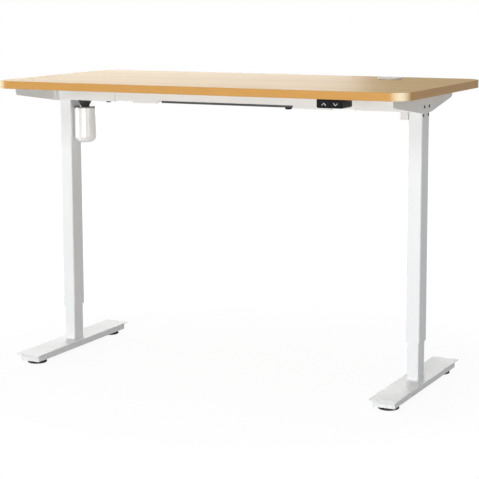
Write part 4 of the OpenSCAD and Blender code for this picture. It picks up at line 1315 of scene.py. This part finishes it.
class DESK_OT_screws(bpy.types.Operator):
    """Adds the screws that show, each kind modelled once and copied"""

    bl_idname = "desk.screws"
    bl_label = "Screws"

    SHANK = 0.003
    FRAME_SHANK_LENGTH = 0.006
    # Radii of the hexagonal sockets
    FRAME_SOCKET = 0.0022
    LOCK_SOCKET = 0.0032
    # The point's chamfer as a share of the shank's radius, and parts of the head as shares of its height
    CHAMFER = 0.15
    HEAD_EDGE = 0.25
    HEAD_ROUND = 0.75
    SOCKET_FLOOR = 0.3

    def execute(self, context):
        sizes = context.scene.desk_sizes
        self.frame_screws(sizes)
        self.lock_screws(sizes)
        coat("steel", "desktop_screws")
        return {"FINISHED"}

    def button_head(self, radius, tall, length, socket):
        """A button-head screw, head up, whose head rests on z = 0"""
        shank = self.SHANK
        chamfer = shank * self.CHAMFER
        edge = tall * self.HEAD_EDGE
        crown = tall * self.HEAD_ROUND
        outline = (
            [(0, -length), (shank - chamfer, -length), (shank, chamfer - length), (shank, 0), (radius, 0)]
            + [(radius, edge)] + arc((radius - crown, edge), crown, 15, 90, 5) + [(0, tall)]
        )
        screw = turned("screw_master", (0, 0, 0), outline, steps=40)
        cut_away(screw, bar("socket_cutter", (0, 0, tall * self.SOCKET_FLOOR), socket, tall, sides=6))
        return screw

    def set_copies(self, name, master, places, node):
        """Sets copies of the master at the places, which are matrices, as one piece"""
        copies = [copied(master, "screw_copy", place) for place in places]
        bpy.data.objects.remove(master)
        dress(joined(name, copies), "desk_frame", "screw_black", "oxide", node)

    def frame_screws(self, sizes):
        """The pairs through each bracket and each leg's outer side"""
        master = self.button_head(
            sizes.m6_head, sizes.m6_head_h, self.FRAME_SHANK_LENGTH, self.FRAME_SOCKET
        )
        edge_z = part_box("right_beam_sleeve")[0].z
        bracket_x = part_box("right_side_bracket")[1].x
        leg_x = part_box("right_outer_tube")[1].x
        leg_y = middle_of("right_outer_tube").y
        outward = Matrix.Rotation(math.radians(90), 4, "Y")
        places = []
        for face_x, z in ((bracket_x, edge_z + sizes.m6_up), (leg_x, edge_z - sizes.m6_down)):
            for off in (-sizes.m6_off, sizes.m6_off):
                place = Matrix.Translation((face_x, leg_y + off, z)) @ outward
                places += [place, MIRROR @ place]
        self.set_copies("frame_screw_heads", master, places, "frame_screws")

    def lock_screws(self, sizes):
        """The two lock screws under the sleeves"""
        low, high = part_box("beam_lock_screws")
        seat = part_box("right_beam_sleeve")[0]
        master = self.button_head(sizes.lock_head, seat.z - low.z, high.z - seat.z, self.LOCK_SOCKET)
        x = seat.x + sizes.lock_inset
        down = Matrix.Rotation(math.radians(180), 4, "X")
        places = [
            Matrix.Translation((place_x, place_y, seat.z)) @ down
            for place_x, place_y in ((-x, low.y + sizes.lock_head), (x, high.y - sizes.lock_head))
        ]
        self.set_copies("lock_screw_heads", master, places, "beam_lock_screws")


class DESK_OT_drive(bpy.types.Operator):
    """Coats the gear boxes and the drive inside the frame"""

    bl_idname = "desk.drive"
    bl_label = "Drive"

    def execute(self, context):
        coat("casting", "left_gear_housing", "right_gear_housing")
        coat("steel", "screw_bearings", "shaft_bearings", "drive_shaft")
        coat("brass", "motor_shaft_gear")
        for side in SIDES:
            coat("brass", f"{side}_shaft_gear", f"{side}_screw_gear")
            coat("thread", f"{side}_lead_screw")
            coat("nylon", f"{side}_nut")
        return {"FINISHED"}


class DESK_OT_stage(bpy.types.Operator):
    """Adds the pale floor, the lamps, the surround and the camera"""

    bl_idname = "desk.stage"
    bl_label = "Stage"

    FLOOR_SIZE = 14
    FLOOR_DEPTH = 0.0004
    FLOOR_TONE = (0.62, 0.62, 0.62)
    # The floor's glow: its strength, the share of it that shows under the desk, and the distances
    # from the middle between which that share grows to all of it
    GLOW = 1.1
    GLOW_UNDER = 0.84
    GLOW_START = 0.7
    GLOW_END = 2.0
    CAMERA_PLACE = (1.8344, -3.6093, 1.0502)
    PAN = math.radians(26.883)
    TILT = math.radians(8.036)
    ROLL = math.radians(-0.2)
    SENSOR = 36
    LENS = 111.27
    SHIFT_UP = -0.09

    def execute(self, context):
        stage = context.scene.desk_stage
        self.floor()
        self.surround(context.scene, stage)
        self.lamp("left_lamp", (-3.2, -1.5, 0.6), (0, 0, 0.6), (1.4, 1.2), stage.left)
        self.lamp("front_lamp", (0.8, -4.2, 0.55), (0, 0, 0.6), (2, 1), stage.front)
        self.lamp("high_front_lamp", (0.5, -3.3, 2.6), (0, 0, 0.5), (2.2, 1), stage.high_front)
        self.lamp("overhead_lamp", (0, 0, 3), (0, 0, 0), (2.4, 1.6), stage.overhead)
        self.lamp("back_lamp", (-1.92, 2.4, 1.2), (-0.2, 0, 0.8), (2.48, 0.8), stage.back)
        self.lamp("low_back_lamp", (-0.6, 2.4, 0.64), (0.3, 0, 0.05), (2, 0.3), stage.low_back)
        self.lamp("strip_lamp", (2.95, -1.7, 0.9), (0, -0.1, 0.7), (0.6, 1.6), stage.strip)
        self.camera(context.scene)
        return {"FINISHED"}

    def white_for_eye(self, tree):
        """A value of 1 for rays from the camera and for those that a glossy or clear surface sends on"""
        paths = tree.nodes.new("ShaderNodeLightPath")
        share = paths.outputs["Is Camera Ray"]
        for name in ("Is Glossy Ray", "Is Transmission Ray"):
            either = tree.nodes.new("ShaderNodeMath")
            either.operation = "MAXIMUM"
            tree.links.new(share, either.inputs[0])
            tree.links.new(paths.outputs[name], either.inputs[1])
            share = either.outputs["Value"]
        return share

    def floor(self):
        """A wide pale floor that keeps the desk's shadow"""
        fresh()
        bpy.ops.mesh.primitive_plane_add(size=self.FLOOR_SIZE, location=(0, 0, -self.FLOOR_DEPTH))
        floor = named("pale_floor")
        finish = Finish("pale_floor", self.FLOOR_TONE, 0.9, specular=0.1)
        reach = finish.nodes.new("ShaderNodeVectorMath")
        reach.operation = "LENGTH"
        finish.link(finish.place, reach.inputs[0])
        fade = finish.between(reach.outputs["Value"], self.GLOW_START, self.GLOW_END, self.GLOW_UNDER)
        glow = finish.nodes.new("ShaderNodeEmission")
        glow.inputs["Strength"].default_value = self.GLOW
        mix = finish.nodes.new("ShaderNodeMixShader")
        share = finish.combine(self.white_for_eye(finish.material.node_tree), fade, "MULTIPLY")
        finish.link(share, mix.inputs["Fac"])
        finish.link(finish.shader.outputs["BSDF"], mix.inputs[1])
        finish.link(glow.outputs["Emission"], mix.inputs[2])
        finish.link(mix.outputs["Shader"], finish.nodes["Material Output"].inputs["Surface"])
        floor.data.materials.append(finish.material)

    def surround(self, scene, stage):
        """An even soft surround that shows as white"""
        scene.world = bpy.data.worlds.new("studio")
        scene.world.use_nodes = True
        tree = scene.world.node_tree
        background = tree.nodes["Background"]
        background.inputs["Color"].default_value = (1, 1, 1, 1)
        strength_range = tree.nodes.new("ShaderNodeMapRange")
        strength_range.inputs["To Min"].default_value = stage.surround
        tree.links.new(self.white_for_eye(tree), strength_range.inputs["Value"])
        tree.links.new(strength_range.outputs["Result"], background.inputs["Strength"])

    def lamp(self, name, place, target, size, power):
        """A soft rectangular lamp that faces a target and isn't seen itself"""
        fresh()
        bpy.ops.object.light_add(type="AREA", location=place)
        lamp = bpy.context.object
        lamp.name = name
        lamp.data.shape = "RECTANGLE"
        lamp.data.size, lamp.data.size_y = size
        lamp.data.energy = power
        lamp.rotation_euler = (Vector(target) - Vector(place)).to_track_quat("-Z", "Y").to_euler()
        lamp.visible_camera = False

    def camera(self, scene):
        """The camera at the front right, a little above the desktop"""
        fresh()
        bpy.ops.object.camera_add(location=self.CAMERA_PLACE)
        camera = bpy.context.object
        camera.name = "camera"
        facing = Euler((math.pi / 2 - self.TILT, 0, self.PAN)).to_matrix()
        camera.rotation_euler = (facing @ Matrix.Rotation(self.ROLL, 3, "Z")).to_euler()
        camera.data.sensor_width = self.SENSOR
        camera.data.lens = self.LENS
        camera.data.shift_y = self.SHIFT_UP
        scene.camera = camera
        scene.view_settings.view_transform = "Standard"


PIECES = (
    DESK_OT_top, DESK_OT_grommet, DESK_OT_brackets, DESK_OT_beam, DESK_OT_legs, DESK_OT_feet,
    DESK_OT_pads, DESK_OT_motor, DESK_OT_control_box, DESK_OT_handset, DESK_OT_screws,
    DESK_OT_drive, DESK_OT_stage,
)


class DESK_PT_panel(bpy.types.Panel):
    """Lists the desk's pieces, sizes and colours"""

    bl_idname = "DESK_PT_panel"
    bl_label = "Standing desk"
    bl_space_type = "VIEW_3D"
    bl_region_type = "UI"
    bl_category = "Desk"

    def draw(self, context):
        column = self.layout.column()
        for piece in PIECES:
            column.operator(piece.bl_idname)
        for group in (context.scene.desk_sizes, context.scene.desk_colours, context.scene.desk_stage):
            box = self.layout.box()
            for name in group.bl_rna.properties.keys():
                if name not in ("rna_type", "name"):
                    box.prop(group, name)


CLASSES = (DeskSizes, DeskColours, DeskStage, *PIECES, DESK_PT_panel)


def register():
    """Registers the classes and hangs the properties on the scene"""
    for item in CLASSES:
        bpy.utils.register_class(item)
    bpy.types.Scene.desk_sizes = PointerProperty(type=DeskSizes)
    bpy.types.Scene.desk_colours = PointerProperty(type=DeskColours)
    bpy.types.Scene.desk_stage = PointerProperty(type=DeskStage)


def unregister():
    """Takes the properties and classes away again"""
    del bpy.types.Scene.desk_stage
    del bpy.types.Scene.desk_colours
    del bpy.types.Scene.desk_sizes
    for item in reversed(CLASSES):
        bpy.utils.unregister_class(item)


def main():
    """Builds the desk piece by piece"""
    register()
    bpy.ops.desk.stage()
    bpy.ops.desk.top()
    bpy.ops.desk.grommet()
    bpy.ops.desk.brackets()
    bpy.ops.desk.beam()
    bpy.ops.desk.legs()
    bpy.ops.desk.feet()
    bpy.ops.desk.pads()
    bpy.ops.desk.motor()
    bpy.ops.desk.control_box()
    bpy.ops.desk.handset()
    bpy.ops.desk.screws()
    bpy.ops.desk.drive()


if __name__ == "__main__":
    main()
